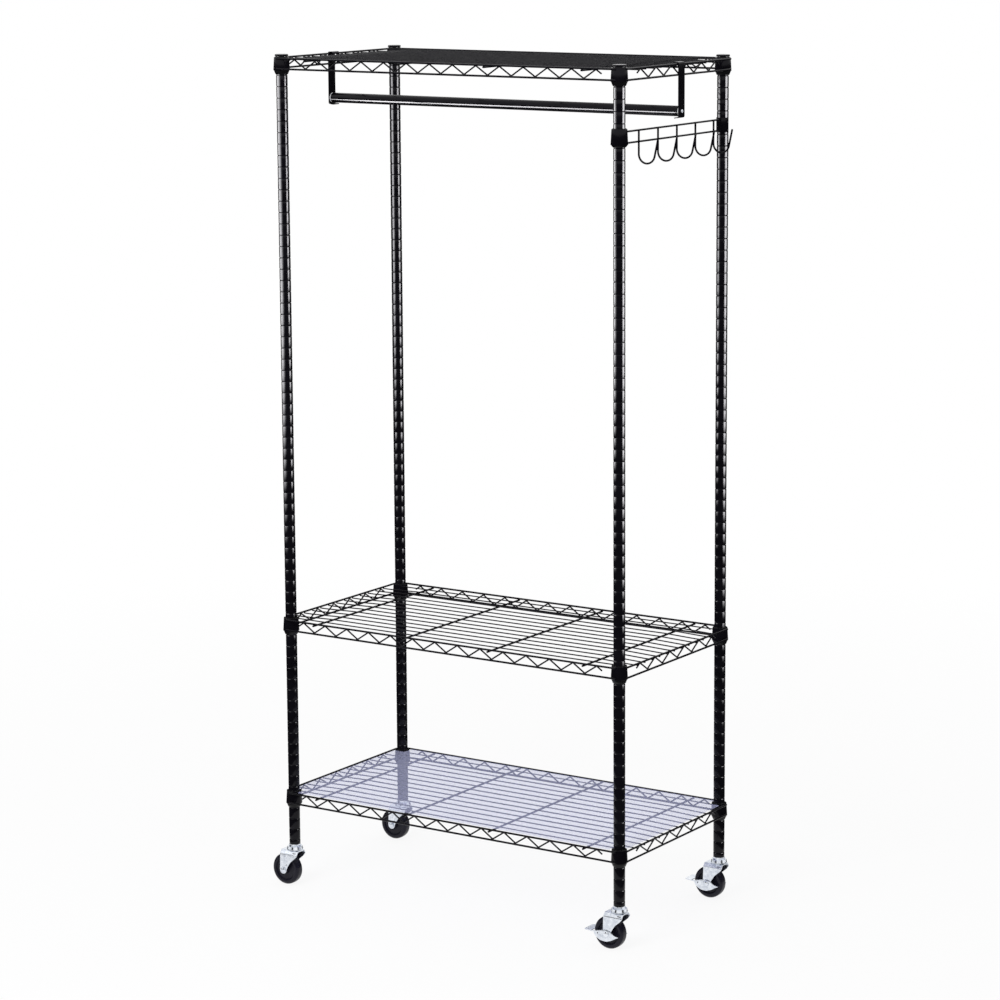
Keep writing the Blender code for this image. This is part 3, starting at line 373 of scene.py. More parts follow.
def rounded(corners, radius, steps=5, closed=False):
    """A route with its corners rounded to arcs. An arc of radius R at a turn t starts R tan(t / 2) before
    the corner. It is the rational quadratic curve whose middle weight is cos(t / 2), an exact circle.
    It takes up no more than 0.49 of a side. Points that repeat the one before are left out."""
    corners = np.asarray(corners, float)
    middle = corners if closed else corners[1:-1]
    before = middle - (np.roll(corners, 1, axis=0) if closed else corners[:-2])
    after = (np.roll(corners, -1, axis=0) if closed else corners[2:]) - middle
    sizes = np.linalg.norm(before, axis=1), np.linalg.norm(after, axis=1)
    before, after = before / sizes[0][:, None], after / sizes[1][:, None]
    half_turn = np.arccos(np.clip(np.sum(before * after, axis=1), -1, 1)) / 2
    setback = np.minimum(np.asarray(radius) * np.tan(half_turn), 0.49 * np.minimum(*sizes))
    start, end = middle - before * setback[:, None], middle + after * setback[:, None]
    share = np.linspace(0, 1, steps + 1)[None, :, None]
    weight = np.cos(half_turn)[:, None, None] * 2 * share * (1 - share)
    arcs = start[:, None] * (1 - share) ** 2 + middle[:, None] * weight + end[:, None] * share**2
    arcs = (arcs / ((1 - share) ** 2 + weight + share**2)).reshape(-1, corners.shape[1])
    route = arcs if closed else np.vstack([corners[:1], arcs, corners[-1:]])
    return route[np.append(True, np.linalg.norm(np.diff(route, axis=0), axis=1) > 1e-4)]


def turned(outline, sides, shaped=None):
    """A lathe shape round Z: point (r, h) of the outline becomes (r cos a, r sin a, h) all round. An outline
    that starts and ends on the axis closes there, and any other closes on itself. shaped(r, h, a) may
    give other radii and heights for each direction a."""
    outline = np.asarray(outline, float)
    poled = outline[0, 0] == 0
    rings = outline[1:-1] if poled else outline
    turn = 2 * np.pi * np.arange(sides) / sides
    radius, height = rings[:, :1] + 0 * turn, rings[:, 1:] + 0 * turn
    if shaped:
        radius, height = shaped(radius, height, turn + 0 * radius)
    points = np.stack([radius * np.cos(turn), radius * np.sin(turn), height], -1).reshape(-1, 3)
    faces = [grid_faces(len(rings), sides, wrap_rows=not poled, wrap_columns=True)]
    if poled:
        this, after, last = np.arange(sides), (np.arange(sides) + 1) % sides, (len(rings) - 1) * sides
        start, end = len(points) + 0 * this, len(points) + 1 + 0 * this
        faces.append(np.stack([start, after, this], -1))
        faces.append(np.stack([last + this, last + after, end], -1))
        points = np.vstack([points, [[0, 0, outline[0, 1]], [0, 0, outline[-1, 1]]]])
    return outward((points, faces))


def tube_faces(rings, sides):
    """Faces of a closed outline carried through some rings, with both ends closed."""
    ends = np.arange(sides)
    caps = np.stack([ends[::-1], ends + (rings - 1) * sides])
    return [grid_faces(rings, sides, wrap_columns=True), caps]


def swept_round(outline, turns):
    """A closed outline of (r, h) carried round Z through the given angles only."""
    outline = np.asarray(outline, float)
    turn = np.asarray(turns)[:, None]
    radius, height = outline[:, 0], outline[:, 1] + 0 * turn
    points = np.stack([radius * np.cos(turn), radius * np.sin(turn), height], -1)
    return outward((points.reshape(-1, 3), tube_faces(len(turn), len(outline))))


def wire(route, radius, across, sides=14):
    """A round wire along a flat route whose plane is square to across. Each ring lies in the plane that
    halves its corner, stretched there by one over the cosine of half the turn. The ends are chamfered."""
    route = np.asarray(route, float)
    steps = np.diff(route, axis=0)
    steps = steps / np.linalg.norm(steps, axis=1, keepdims=True)
    before, after = np.vstack([steps[:1], steps]), np.vstack([steps, steps[-1:]])
    along = (before + after) / np.linalg.norm(before + after, axis=1, keepdims=True)
    across = np.asarray(across, float)
    over = np.cross(along, across) / np.sum(along * after, axis=1, keepdims=True)
    order = np.concatenate([[0], np.arange(len(route)), [len(route) - 1]])
    chamfer, face = 0.35 * radius, 0.68 * radius
    shift = np.zeros((len(order), 1))
    shift[1], shift[-2] = chamfer, -chamfer
    size = np.full((len(order), 1, 1), radius)
    size[[0, -1]] = face
    turn = 2 * np.pi * np.arange(sides)[None, :, None] / sides
    rings = (route[order] + along[order] * shift)[:, None]
    rings = rings + size * (over[order][:, None] * np.cos(turn) + across * np.sin(turn))
    return outward((rings.reshape(-1, 3), tube_faces(len(order), sides)))


def beads(centres, size):
    """Small weld beads: one eight-sided ball of three rings, stretched by size and set at every centre."""
    tilt = np.pi * np.arange(5) / 4
    ball, groups = turned(np.stack([np.sin(tilt) * (tilt % np.pi > 0.01), -np.cos(tilt)], -1), 8)
    centres = np.asarray(centres, float)
    points = (centres[:, None] + ball * np.asarray(size)).reshape(-1, 3)
    starts = (np.arange(len(centres)) * len(ball))[:, None, None]
    return points, [(group + starts).reshape(-1, group.shape[1]) for group in groups]


def sheet_shell(points, kept=None):
    """The faces of a grid of points, without the cells that aren't kept and the points that only they use."""
    faces = grid_faces(*points.shape[:2])
    if kept is not None:
        faces = faces[kept.ravel()]
    used, faces = np.unique(faces, return_inverse=True)
    return points.reshape(-1, 3)[used], [faces.reshape(-1, 4)]


def prism(outline, low, high):
    """A flat outline of (x, y) with a floor at low, a roof at high and a wall between them."""
    outline = np.asarray(outline, float)
    count = len(outline)
    points = np.concatenate([np.column_stack([outline, np.full(count, level)]) for level in (low, high)])
    this = np.arange(count)
    walls = np.stack([this, (this + 1) % count, (this + 1) % count + count, this + count], -1)
    return outward((points, [np.stack([this[::-1], this + count]), walls]))


def smooth_step(value, low, high):
    """0 below low and 1 above high, and 3 s^2 - 2 s^3 of the share s between them."""
    share = np.clip((value - low) / (high - low), 0, 1)
    return share * share * (3 - 2 * share)


def drawn_back(past, radius):
    """How far a corner rounded to a radius R draws an edge back, p past the arc's start:
    R - sqrt(R^2 - p^2)."""
    return radius - np.sqrt(np.maximum(radius**2 - np.maximum(past, 0) ** 2, 0))


# Finishes


NOISE_RANGE = {"From Min": 0.35, "From Max": 0.65}  # what most of a noise's values lie between


def add_node(owner, kind, inputs=None, **settings):
    """Adds one node with its settings. Each input is a value, a socket to link, or a node whose first output
    is linked."""
    node = owner.node_tree.nodes.new(kind)
    for key, value in settings.items():
        setattr(node, key, value)
    for key, value in (inputs or {}).items():
        if isinstance(value, bpy.types.Node):
            value = value.outputs[0]
        if isinstance(value, bpy.types.NodeSocket):
            owner.node_tree.links.new(value, node.inputs[key])
        elif node.inputs[key].type == "RGBA":
            node.inputs[key].default_value = tuple(value) + (1.0,)
        else:
            node.inputs[key].default_value = value
    return node


def new_finish(name):
    """An empty material and its object coordinates, in metres."""
    made = bpy.data.materials.new(name)
    made.use_nodes = True
    made.node_tree.nodes.clear()
    return made, add_node(made, "ShaderNodeTexCoord").outputs["Object"]


def finish_shader(made, inputs):
    """The material with its Principled shader and its output."""
    shader = add_node(made, "ShaderNodeBsdfPrincipled", inputs)
    add_node(made, "ShaderNodeOutputMaterial", {"Surface": shader})
    return made


def every(millimetres):
    """The scale of a pattern whose grains are about so many millimetres across: one over that, in metres."""
    return 1 / (millimetres * MM)


def powder_coat(colours):
    """Epoxy powder coat on steel, sprayed and baked. It looks near black and glossy, with shallow
    orange-peel waves about 3 mm across in its highlights and a faint duller bloom in patches. Inside the
    rolled grooves, which the attribute groove marks by their depth, its reflection is turned down as
    painted shade, which keeps the grooves' highlights dark."""
    made, place = new_finish("gloss epoxy powder coat on steel")
    groove = add_node(made, "ShaderNodeAttribute", attribute_name="groove").outputs["Fac"]
    bloom = add_node(made, "ShaderNodeTexNoise", {"Vector": place, "Scale": every(70), "Detail": 3.0})
    peel = add_node(made, "ShaderNodeTexNoise", {"Vector": place, "Scale": every(3), "Detail": 1.0})
    worn = add_node(made, "ShaderNodeMapRange", {"Value": bloom, **NOISE_RANGE, "To Max": 0.45})
    rough = {"Value": bloom, **NOISE_RANGE, "To Min": 0.11, "To Max": 0.17}
    # Painted shade: the specular level falls from 0.16 to 0.02 with the groove's depth, darkening the
    # grooves' reflections.
    painted_groove_shade = {"Value": groove, "From Max": 0.6, "To Min": 0.16, "To Max": 0.02}
    tint = {"Factor": worn, 6: colours.coat, 7: colours.coat_worn}
    return finish_shader(made, {
        "Base Color": add_node(made, "ShaderNodeMix", tint, data_type="RGBA").outputs[2],
        "Roughness": add_node(made, "ShaderNodeMapRange", rough),
        "IOR": 1.5,
        "Specular IOR Level": add_node(made, "ShaderNodeMapRange", painted_groove_shade),
        "Specular Tint": (0.97, 0.96, 1.0),
        "Normal": add_node(made, "ShaderNodeBump", {"Height": peel, "Distance": 0.02 * MM, "Strength": 0.3}),
    })


def sleeve_plastic(colours):
    """Polypropylene, injection moulded. It looks deep black and half matt, with a fine spark-eroded grain
    of about 0.6 mm, drawn coarse enough to show."""
    made, place = new_finish("moulded black polypropylene")
    grain = add_node(made, "ShaderNodeTexNoise", {"Vector": place, "Scale": every(0.6), "Detail": 2.0})
    haze = add_node(made, "ShaderNodeTexNoise", {"Vector": place, "Scale": every(12), "Detail": 2.0})
    rough = {"Value": haze, **NOISE_RANGE, "To Min": 0.30, "To Max": 0.40}
    return finish_shader(made, {
        "Base Color": colours.plastic,
        "Roughness": add_node(made, "ShaderNodeMapRange", rough),
        "IOR": 1.49,
        "Specular IOR Level": 0.2,
        "Normal": add_node(made, "ShaderNodeBump", {"Height": grain, "Distance": 0.02 * MM, "Strength": 0.5}),
    })


def bright_zinc(colours):
    """Zinc electroplate with a clear bright passivation on pressed steel. It looks like soft chrome, cool
    and slightly streaked along the pressing, with dull patches of a few millimetres."""
    made, place = new_finish("bright zinc plate on pressed steel")
    mottle = {"Vector": place, "Scale": every(9), "Detail": 4.0, "Roughness": 0.6}
    patch = add_node(made, "ShaderNodeTexNoise", mottle)
    drawn = add_node(made, "ShaderNodeMapping", {"Vector": place, "Scale": (1.0, 1.0, 0.12)})
    streak = add_node(made, "ShaderNodeTexNoise", {"Vector": drawn, "Scale": every(0.5), "Detail": 2.0})
    dull = add_node(made, "ShaderNodeMapRange", {"Value": patch, **NOISE_RANGE})
    rough = {"Value": patch, **NOISE_RANGE, "To Min": 0.15, "To Max": 0.24}
    tint = {"Factor": dull, 6: colours.zinc, 7: colours.zinc_dull}
    bumps = {"Height": streak, "Distance": 0.008 * MM, "Strength": 0.4}
    return finish_shader(made, {
        "Base Color": add_node(made, "ShaderNodeMix", tint, data_type="RGBA").outputs[2],
        "Metallic": 1.0,
        "Roughness": add_node(made, "ShaderNodeMapRange", rough),
        "Normal": add_node(made, "ShaderNodeBump", bumps),
    })


def wheel_polymer(colours):
    """Polyurethane, moulded on a nylon core. It looks almost black with a violet cast, waxy, with dust
    rolled into fine scuffs of about 2 mm."""
    made, place = new_finish("moulded polyurethane wheel")
    worn = {"Vector": place, "Scale": every(2), "Detail": 5.0, "Roughness": 0.6}
    scuff = add_node(made, "ShaderNodeTexNoise", worn)
    cloud = add_node(made, "ShaderNodeTexNoise", {"Vector": place, "Scale": every(16), "Detail": 2.0})
    dust = add_node(made, "ShaderNodeMapRange", {"Value": scuff, **NOISE_RANGE, "To Max": 0.7})
    rough = {"Value": cloud, **NOISE_RANGE, "To Min": 0.24, "To Max": 0.36}
    tint = {"Factor": dust, 6: colours.wheel, 7: colours.wheel_tread}
    return finish_shader(made, {
        "Base Color": add_node(made, "ShaderNodeMix", tint, data_type="RGBA").outputs[2],
        "Roughness": add_node(made, "ShaderNodeMapRange", rough),
        "IOR": 1.5,
        "Specular IOR Level": 0.2,
        "Normal": add_node(made, "ShaderNodeBump", {"Height": scuff, "Distance": 0.03 * MM, "Strength": 0.4}),
    })


def liner_film(colours):
    """Clear PVC sheet, calendered and die cut. It looks like cool tinted glass that half shows the wires,
    glossy, with slow waves about 90 mm across and a faint haze."""
    made, place = new_finish("clear calendered vinyl sheet")
    wave = add_node(made, "ShaderNodeTexNoise", {"Vector": place, "Scale": every(90), "Detail": 1.0})
    haze = add_node(made, "ShaderNodeTexNoise", {"Vector": place, "Scale": every(25), "Detail": 3.0})
    rough = {"Value": haze, **NOISE_RANGE, "To Min": 0.08, "To Max": 0.16}
    return finish_shader(made, {
        "Base Color": colours.film,
        "Roughness": add_node(made, "ShaderNodeMapRange", rough),
        "IOR": 1.53,
        "Specular IOR Level": 0.3,
        "Alpha": 0.27,
        "Normal": add_node(made, "ShaderNodeBump", {"Height": wave, "Distance": 1.0 * MM, "Strength": 0.6}),
    })


def plug_plastic(colours):
    """Polyethylene, injection moulded. It looks pale and slightly waxy, with a fine grain of 0.6 mm."""
    made, place = new_finish("moulded pale polyethylene")
    grain = add_node(made, "ShaderNodeTexNoise", {"Vector": place, "Scale": every(0.6), "Detail": 2.0})
    rough = {"Value": grain, **NOISE_RANGE, "To Min": 0.32, "To Max": 0.42}
    return finish_shader(made, {
        "Base Color": colours.pale,
        "Roughness": add_node(made, "ShaderNodeMapRange", rough),
        "IOR": 1.51,
        "Subsurface Weight": 0.05,
        "Normal": add_node(made, "ShaderNodeBump", {"Height": grain, "Distance": 0.01 * MM, "Strength": 0.5}),
    })


def threaded_steel(colours):
    """Mild steel rod with a rolled thread. It looks grey and half bright, ringed by the thread's 1.5 mm
    pitch. Rings of a wave texture repeat 20 times over 2 pi units of its scale."""
    made, place = new_finish("rolled thread mild steel")
    inputs = {"Vector": place, "Scale": 2 * math.pi / (20 * 1.5 * MM)}
    bands = {"wave_type": "BANDS", "bands_direction": "Z", "wave_profile": "TRI"}
    thread = add_node(made, "ShaderNodeTexWave", inputs, **bands).outputs["Fac"]
    patch = add_node(made, "ShaderNodeTexNoise", {"Vector": place, "Scale": every(5), "Detail": 3.0})
    rough = {"Value": patch, **NOISE_RANGE, "To Min": 0.28, "To Max": 0.42}
    return finish_shader(made, {
        "Base Color": colours.steel,
        "Metallic": 1.0,
        "Roughness": add_node(made, "ShaderNodeMapRange", rough),
        "Normal": add_node(made, "ShaderNodeBump", {"Height": thread, "Distance": 0.6 * MM, "Strength": 0.8}),
    })


FINISHES = {
    "black_powder_coat": powder_coat,
    "black_plastic": sleeve_plastic,
    "threaded_steel": threaded_steel,
    "bright_zinc": bright_zinc,
    "wheel_polymer": wheel_polymer,
    "liner_film": liner_film,
    "pale_plastic": plug_plastic,
}
made_finishes = {}


def finish(slot):
    """The one material of a slot, made when it is first asked for."""
    if slot not in made_finishes:
        made_finishes[slot] = FINISHES[slot](bpy.context.scene.rack_finishes)
    return made_finishes[slot]


# Putting pieces in the scene


def add_object(name, shell, material):
    """A mesh object from a shell in metres, smooth shaded with edges sharper than 40 degrees kept sharp."""
    points, faces = shell
    sizes = np.concatenate([np.full(len(group), group.shape[1]) for group in faces])
    corners = np.concatenate([group.ravel() for group in faces]).astype(np.int32)
    mesh = bpy.data.meshes.new(name)
    mesh.vertices.add(len(points))
    mesh.vertices.foreach_set("co", points.ravel().astype(np.float32))
    mesh.loops.add(len(corners))
    mesh.loops.foreach_set("vertex_index", corners)
    mesh.polygons.add(len(sizes))
    mesh.polygons.foreach_set("loop_start", (np.cumsum(sizes) - sizes).astype(np.int32))
    mesh.update(calc_edges=True)
    if mesh.validate():
        raise RuntimeError(name + " has faces that don't fit together")
    mesh.shade_smooth()
    mesh.set_sharp_from_angle(angle=math.radians(40))
    mesh.materials.append(material)
    made = bpy.data.objects.new(name, mesh)
    bpy.context.scene.collection.objects.link(made)
    return made


def add_piece(name, shell, node, slot, body="rack", wall=0.0, bevel=0.0):
    """A finished piece in a CAD node's place. A wall gives a sheet its thickness to both sides alike. The
    shell, the wall and the bevel are in millimetres."""
    made = add_object(name, (shell[0] * MM, shell[1]), finish(slot))
    if wall:
        solid = made.modifiers.new("sheet thickness", "SOLIDIFY")
        solid.thickness = wall * MM
        solid.offset = 0.0
        solid.use_even_offset = True
    if bevel:
        edge = made.modifiers.new("worn edges", "BEVEL")
        edge.width = bevel * MM
        edge.segments = 2
        edge.limit_method = "ANGLE"
        edge.angle_limit = math.radians(35)
    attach(made, body)
    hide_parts(node)
    return made


def add_all_round(words, shell, node, slot, body="", height=0.0, shift=0.0, corners=CORNERS, **sheet):
    """The same piece at each corner, whose name ends those of the piece, its node and its own body."""
    return [
        add_piece(
            f"{words}_{corner}", moved(shell, place), f"{node}_{corner}", slot,
            f"{body}_{corner}" if body else "rack", **sheet,
        )
        for corner, place in at_corners(height, shift) if corner in corners
    ]


# Posts


def post_outline(sizes, bottom, top, low_end, high_end):
    """Closed (r, h) outline of a post length. Outside, each rolled groove takes depth (1 + cos) / 2 off the
    radius over one turn of the cosine. Inside, each end narrows to its own (bore, depth)."""
    first, pitch = FOOT + sizes.groove_first, sizes.groove_pitch
    centres = first + pitch * np.arange(math.ceil((POST_TOP - first) / pitch))
    clear = 2 * sizes.groove_half
    centres = centres[(centres > bottom + clear) & (centres < top - clear)]
    spread = np.linspace(-1, 1, 9)
    heights = centres[:, None] + sizes.groove_half * spread
    radii = sizes.radius - sizes.groove_depth * (1 + np.cos(np.pi * spread)) / 2 + 0 * heights
    grooves = np.stack([radii.ravel(), heights.ravel()], -1)
    (low_bore, low_depth), (high_bore, high_depth) = low_end, high_end
    bore, taper, edge = sizes.radius - sizes.wall, sizes.taper, sizes.edge
    inside = [
        (high_bore, top), (high_bore, top - high_depth), (bore, top - high_depth - taper),
        (bore, bottom + low_depth + taper), (low_bore, bottom + low_depth), (low_bore, bottom),
    ]
    low = [
        (sizes.radius - edge, bottom), (sizes.radius - 0.3 * edge, bottom + 0.3 * edge),
        (sizes.radius, bottom + edge),
    ]
    high = [(radius, bottom + top - height) for radius, height in low[::-1]]
    return np.vstack([low, grooves, high, inside])


def cap_outline(sizes):
    """(r, h) outline of a cap from the post's top: a plug, a shoulder a little wider than the post and a
    flat dome with a rounded edge."""
    radius, plug = sizes.cap_radius, sizes.radius - sizes.wall - GAP
    shoulder, dome = 0.1, 0.3
    corners = [
        (0, -sizes.cap_plug), (plug, -sizes.cap_plug), (plug, shoulder), (radius, shoulder),
        (radius, sizes.cap_height - dome), (0, sizes.cap_height),
    ]
    return rounded(corners, [0.8, 0.05, 0.3, 2.6], steps=6)


class RACK_OT_posts(bpy.types.Operator):
    """Four grooved posts, each in a lower and an upper length on a threaded joiner, with domed caps"""

    bl_idname = "rack.posts"
    bl_label = "Posts and Caps"

    def execute(self, context):
        sizes = sizes_of("rack_posts")
        foot, threaded = (sizes.foot_bore, sizes.foot_depth), (sizes.joiner_bore, sizes.joiner_depth)
        plain = (sizes.radius - sizes.wall, 0.0)
        lengths = {
            "lower": turned(post_outline(sizes, FOOT, JOINT_LOW, foot, threaded), 44),
            "upper": turned(post_outline(sizes, JOINT_HIGH, POST_TOP, threaded, plain), 44),
        }
        for part, shell in lengths.items():
            inward = sizes.radius - np.hypot(shell[0][:, 0], shell[0][:, 1])
            marks = np.clip(inward / sizes.groove_depth, 0, 1).astype(np.float32)
            for post in add_all_round("grooved_post_" + part, shell, "post_" + part, "black_powder_coat"):
                post.data.attributes.new("groove", "FLOAT", "POINT").data.foreach_set("value", marks)
        for corner in CORNERS:
            joiner = frame["nodes"]["post_joiner_" + corner]
            joiner.data.materials.clear()
            joiner.data.materials.append(finish("threaded_steel"))
        cap = turned(cap_outline(sizes), 48)
        add_all_round("domed_cap", cap, "post_cap", "black_powder_coat", height=POST_TOP)
        return {"FINISHED"}


# Sleeves and shelves


def sleeve_shell(sizes, collar_height):
    """A split sleeve: its rim, taper, flare and cone as one rounded outline carried round between the
    sides of its slit, which faces halfway between +X and +Y."""
    bore, foot = sizes.sleeve_bore, -collar_height - GAP
    corners = [
        (bore, sizes.sleeve_rim), (sizes.sleeve_top, sizes.sleeve_rim), (sizes.sleeve_low, foot),
        (sizes.collar_low - 1.2, foot), (bore + 1.0, -sizes.sleeve_height), (bore, -sizes.sleeve_height),
    ]
    outline = rounded(corners, [0.4, 0.5, 0.2, 0.9, 0.4, 0.3], steps=3, closed=True)
    middle, half_slit = math.pi / 4, math.asin(sizes.sleeve_slit / 2 / bore)
    return swept_round(outline, np.linspace(middle + half_slit, middle + 2 * math.pi - half_slit, 53))


class RACK_OT_sleeves(bpy.types.Operator):
    """The split sleeve in each shelf collar and the one in the hook rail's collar"""

    bl_idname = "rack.sleeves"
    bl_label = "Split Sleeves"

    def execute(self, context):
        sizes = sizes_of("rack_shelves")
        shell = sleeve_shell(sizes, sizes.collar_height)
        for level in LEVELS:
            node = "sleeve_" + level
            add_all_round("split_" + node, shell, node, "black_plastic", height=SEATS[level])
        shell = sleeve_shell(sizes, sizes_of("rack_hooks").collar_height)
        place = (HALF_X, -HALF_Y, HOOK_SEAT)
        add_piece("split_sleeve_hook_rail", moved(shell, place), "sleeve_hook_rail", "black_plastic")
        return {"FINISHED"}


def collar_shell(sizes, height):
    """A steel collar with a tapered bore, rounded edges and its origin at its top."""
    corners = [
        (sizes.bore_top, 0), (sizes.collar_top, 0), (sizes.collar_low, -height), (sizes.bore_low, -height),
    ]
    return turned(rounded(corners, [0.3, 1.3, 0.7, 0.3], steps=4, closed=True), 56)


def zigzag_route(sizes, span, margin, peaks, top, low):
    """(distance, height) of a zigzag wire between two rails, and of its welds. Its corners stand
    R (1 / cos(t / 2) - 1) past the rails, so that bends of radius R still touch them, and its ends stop
    short as free stubs."""
    half_pitch = (span - 2 * margin) / (peaks - 1) / 2
    half_turn = math.atan2(top - low, half_pitch)
    past = sizes.bend * (1 / math.cos(half_turn) - 1)
    stub_share = 0.45
    stub, stub_height = half_pitch * stub_share, top + (low - top) * stub_share
    count = np.arange(2 * peaks - 1)
    along = margin + count * half_pitch
    welds = np.column_stack([along, np.where(count % 2, low, top)])
    corners = np.column_stack([along, np.where(count % 2, low - past, top + past)])
    route = np.vstack([[(margin - stub, stub_height)], corners, [(span - margin + stub, stub_height)]])
    return rounded(route, sizes.bend, steps=6), welds


def truss_shells(sizes, side, lengthwise):
    """The top rail, lower rail, zigzag wire and weld beads of one edge of a shelf. Lengthwise edges run
    along X at the front and back, and the others along Y at the sides."""
    half, other = (HALF_X, HALF_Y) if lengthwise else (HALF_Y, HALF_X)
    kind = "long_" if lengthwise else "side_"
    drop, margin, peaks = (getattr(sizes, kind + key) for key in ("drop", "margin", "peaks"))
    rail = side * (other + sizes.rail_offset)
    inner = rail - side * sizes.inset
    top, low = -drop - sizes.tuck, sizes.tuck - sizes.low_drop
    route, welds = zigzag_route(sizes, 2 * half, margin, peaks, top, low)

    def in_place(along, sideways, height):
        """Columns in the order of X, Y, Z."""
        columns = (along, sideways, height) if lengthwise else (sideways, along, height)
        return np.column_stack(np.broadcast_arrays(*columns))

    across = (0, 1, 0) if lengthwise else (1, 0, 0)
    bead = (3.4, 1.3, 1.3) if lengthwise else (1.3, 3.4, 1.3)
    ends = np.array([-1, 1]) * (half + sizes.rail_overhang)
    return [
        wire(in_place(ends, rail, -drop), sizes.rail, across),
        wire(in_place(ends, rail, -sizes.low_drop), sizes.rail, across),
        wire(in_place(route[:, 0] - half, inner, route[:, 1]), sizes.zigzag, across, THIN_SIDES),
        beads(in_place(welds[:, 0] - half, (rail + inner) / 2, welds[:, 1]), bead),
    ]


def deck_route(sizes, y):
    """One deck wire. It lies on the cross wires and dips past the outer ones to end under the side rails,
    or it stops at the collars where it meets them."""
    height, beside = -sizes.deck_drop, HALF_Y - abs(y)
    if beside < sizes.collar_top:
        end = HALF_X - math.sqrt((sizes.sleeve_low + WELD) ** 2 - beside**2)
        return [(-end, y, height), (end, y, height)]
    rail, overlap = HALF_X + sizes.rail_offset, 0.2
    under = -sizes.side_drop - sizes.rail - sizes.deck + overlap
    dip = HALF_X * (2 * CROSS_SHARES[-1] - 1)
    half = np.array([(dip, y, height), (rail - sizes.dip_run, y, under), (rail + sizes.dip_end, y, under)])
    return rounded(np.vstack([half[::-1] * (-1, 1, 1), half]), sizes.dip_bend, steps=3)


def shelf_shell(sizes):
    """A welded shelf with its origin at its collars' tops: four trusses, deck wires, cross wires,
    collars, and a weld bead wherever two wires cross."""
    shells = []
    for side in (-1, 1):
        shells += truss_shells(sizes, side, True) + truss_shells(sizes, side, False)
    rail_x, rail_y = HALF_X + sizes.rail_offset, HALF_Y + sizes.rail_offset
    decks = np.linspace(-rail_y, rail_y, sizes.deck_wires + 2)[1:-1]
    crosses = HALF_X * (2 * np.array(CROSS_SHARES) - 1)
    shells += [wire(deck_route(sizes, y), sizes.deck, (0, 1, 0), THIN_SIDES) for y in decks]
    ends = np.array([-1, 1]) * (rail_y + sizes.nub)
    shells += [wire(grid_of(x, ends, -sizes.cross_drop), sizes.rail, (1, 0, 0)) for x in crosses]
    contact, small, large, seam = -(sizes.deck_drop + sizes.cross_drop) / 2, 1.5, 2.1, 2.6
    shells.append(beads(grid_of(crosses, decks, contact), small))
    shells.append(beads(grid_of(crosses, (-rail_y, rail_y), contact), large))
    shells.append(beads(grid_of((-rail_x, rail_x), decks[1:-1], -sizes.side_drop - sizes.rail), small))
    shells += [moved(collar_shell(sizes, sizes.collar_height), place) for _, place in at_corners()]
    touch = sizes.rail_offset - 1.2
    seams = [
        (along * (HALF_X + dx), across * (HALF_Y + dy), -drop)
        for along, across in CORNERS.values()
        for dx, dy, drop in (
            (0, touch, sizes.long_drop), (0, touch, sizes.low_drop), (touch, 0, sizes.side_drop),
            (touch, 0, sizes.low_drop),
        )
    ]
    return joined(*shells, beads(seams, seam))


class RACK_OT_shelves(bpy.types.Operator):
    """Three welded wire shelves with their trusses, deck wires, cross wires and collars"""

    bl_idname = "rack.shelves"
    bl_label = "Wire Shelves"

    def execute(self, context):
        shell = shelf_shell(sizes_of("rack_shelves"))
        for level in LEVELS:
            node = "shelf_" + level
            add_piece("wire_" + node, moved(shell, (0, 0, SEATS[level])), node, "black_powder_coat")
        return {"FINISHED"}


# Hook rail


def hook_route(sizes, y, centre):
    """A coat hook: straight down past both wires, round an arc, and straight out to its tip."""
    overlap, above = 0.4, 1.5
    back = HALF_X + 2 * sizes.wire - overlap
    bottom = centre - sizes.drop - sizes.depth
    turn = np.radians(np.linspace(180, 347, 24))
    x, z = back + sizes.bend * (1 + np.cos(turn)), bottom + sizes.bend * (1 + np.sin(turn))
    arc = np.column_stack([x, np.full(len(turn), y), z])
    tip = (back + sizes.reach, y, centre - sizes.drop + sizes.tip)
    return np.vstack([[(back, y, centre + sizes.rise + above)], arc, [tip]])


def hook_rail_shell(sizes, shelf_sizes):
    """Two wires, their welded hooks, the collar on the front post and the saddle clip on the back post."""
    inner, outer = shelf_sizes.sleeve_bore, shelf_sizes.sleeve_bore + sizes.clip_wall
    centre = HOOK_SEAT - shelf_sizes.sleeve_height / 2
    front = -HALF_Y + shelf_sizes.sleeve_low + WELD
    back = HALF_Y - inner - sizes.clip_wall / 2
    heights = (centre + sizes.rise, centre - sizes.drop)
    hooks = np.linspace(-HALF_Y + sizes.first, HALF_Y - sizes.last, sizes.hooks)
    shells = [wire([(HALF_X, front, z), (HALF_X, back, z)], sizes.wire, (1, 0, 0)) for z in heights]
    shells += [wire(hook_route(sizes, y, centre), sizes.wire, (0, 1, 0)) for y in hooks]
    touch = HALF_X + sizes.wire
    shells.append(beads([(touch, y, z) for y in hooks for z in heights], (1.4, 2.0, 2.4)))
    shells.append(beads([(HALF_X, y, z) for y in (front + 1.6, back - 0.6) for z in heights], 2.5))
    shells.append(moved(collar_shell(shelf_sizes, sizes.collar_height), (HALF_X, -HALF_Y, HOOK_SEAT)))
    low, high = heights[1] - sizes.clip_margin, heights[0] + sizes.clip_margin
    outline = rounded([(inner, low), (outer, low), (outer, high), (inner, high)], 0.4, 3, closed=True)
    shells.append(moved(swept_round(outline, np.radians(np.linspace(178, 362, 33))), (HALF_X, HALF_Y, 0)))
    return joined(*shells)


class RACK_OT_hook_rail(bpy.types.Operator):
    """The side rail with its coat hooks"""

    bl_idname = "rack.hook_rail"
    bl_label = "Hook Rail"

    def execute(self, context):
        shell = hook_rail_shell(sizes_of("rack_hooks"), sizes_of("rack_shelves"))
        add_piece("coat_hook_rail", shell, "hook_rail", "black_powder_coat")
        return {"FINISHED"}


# Hanging bar


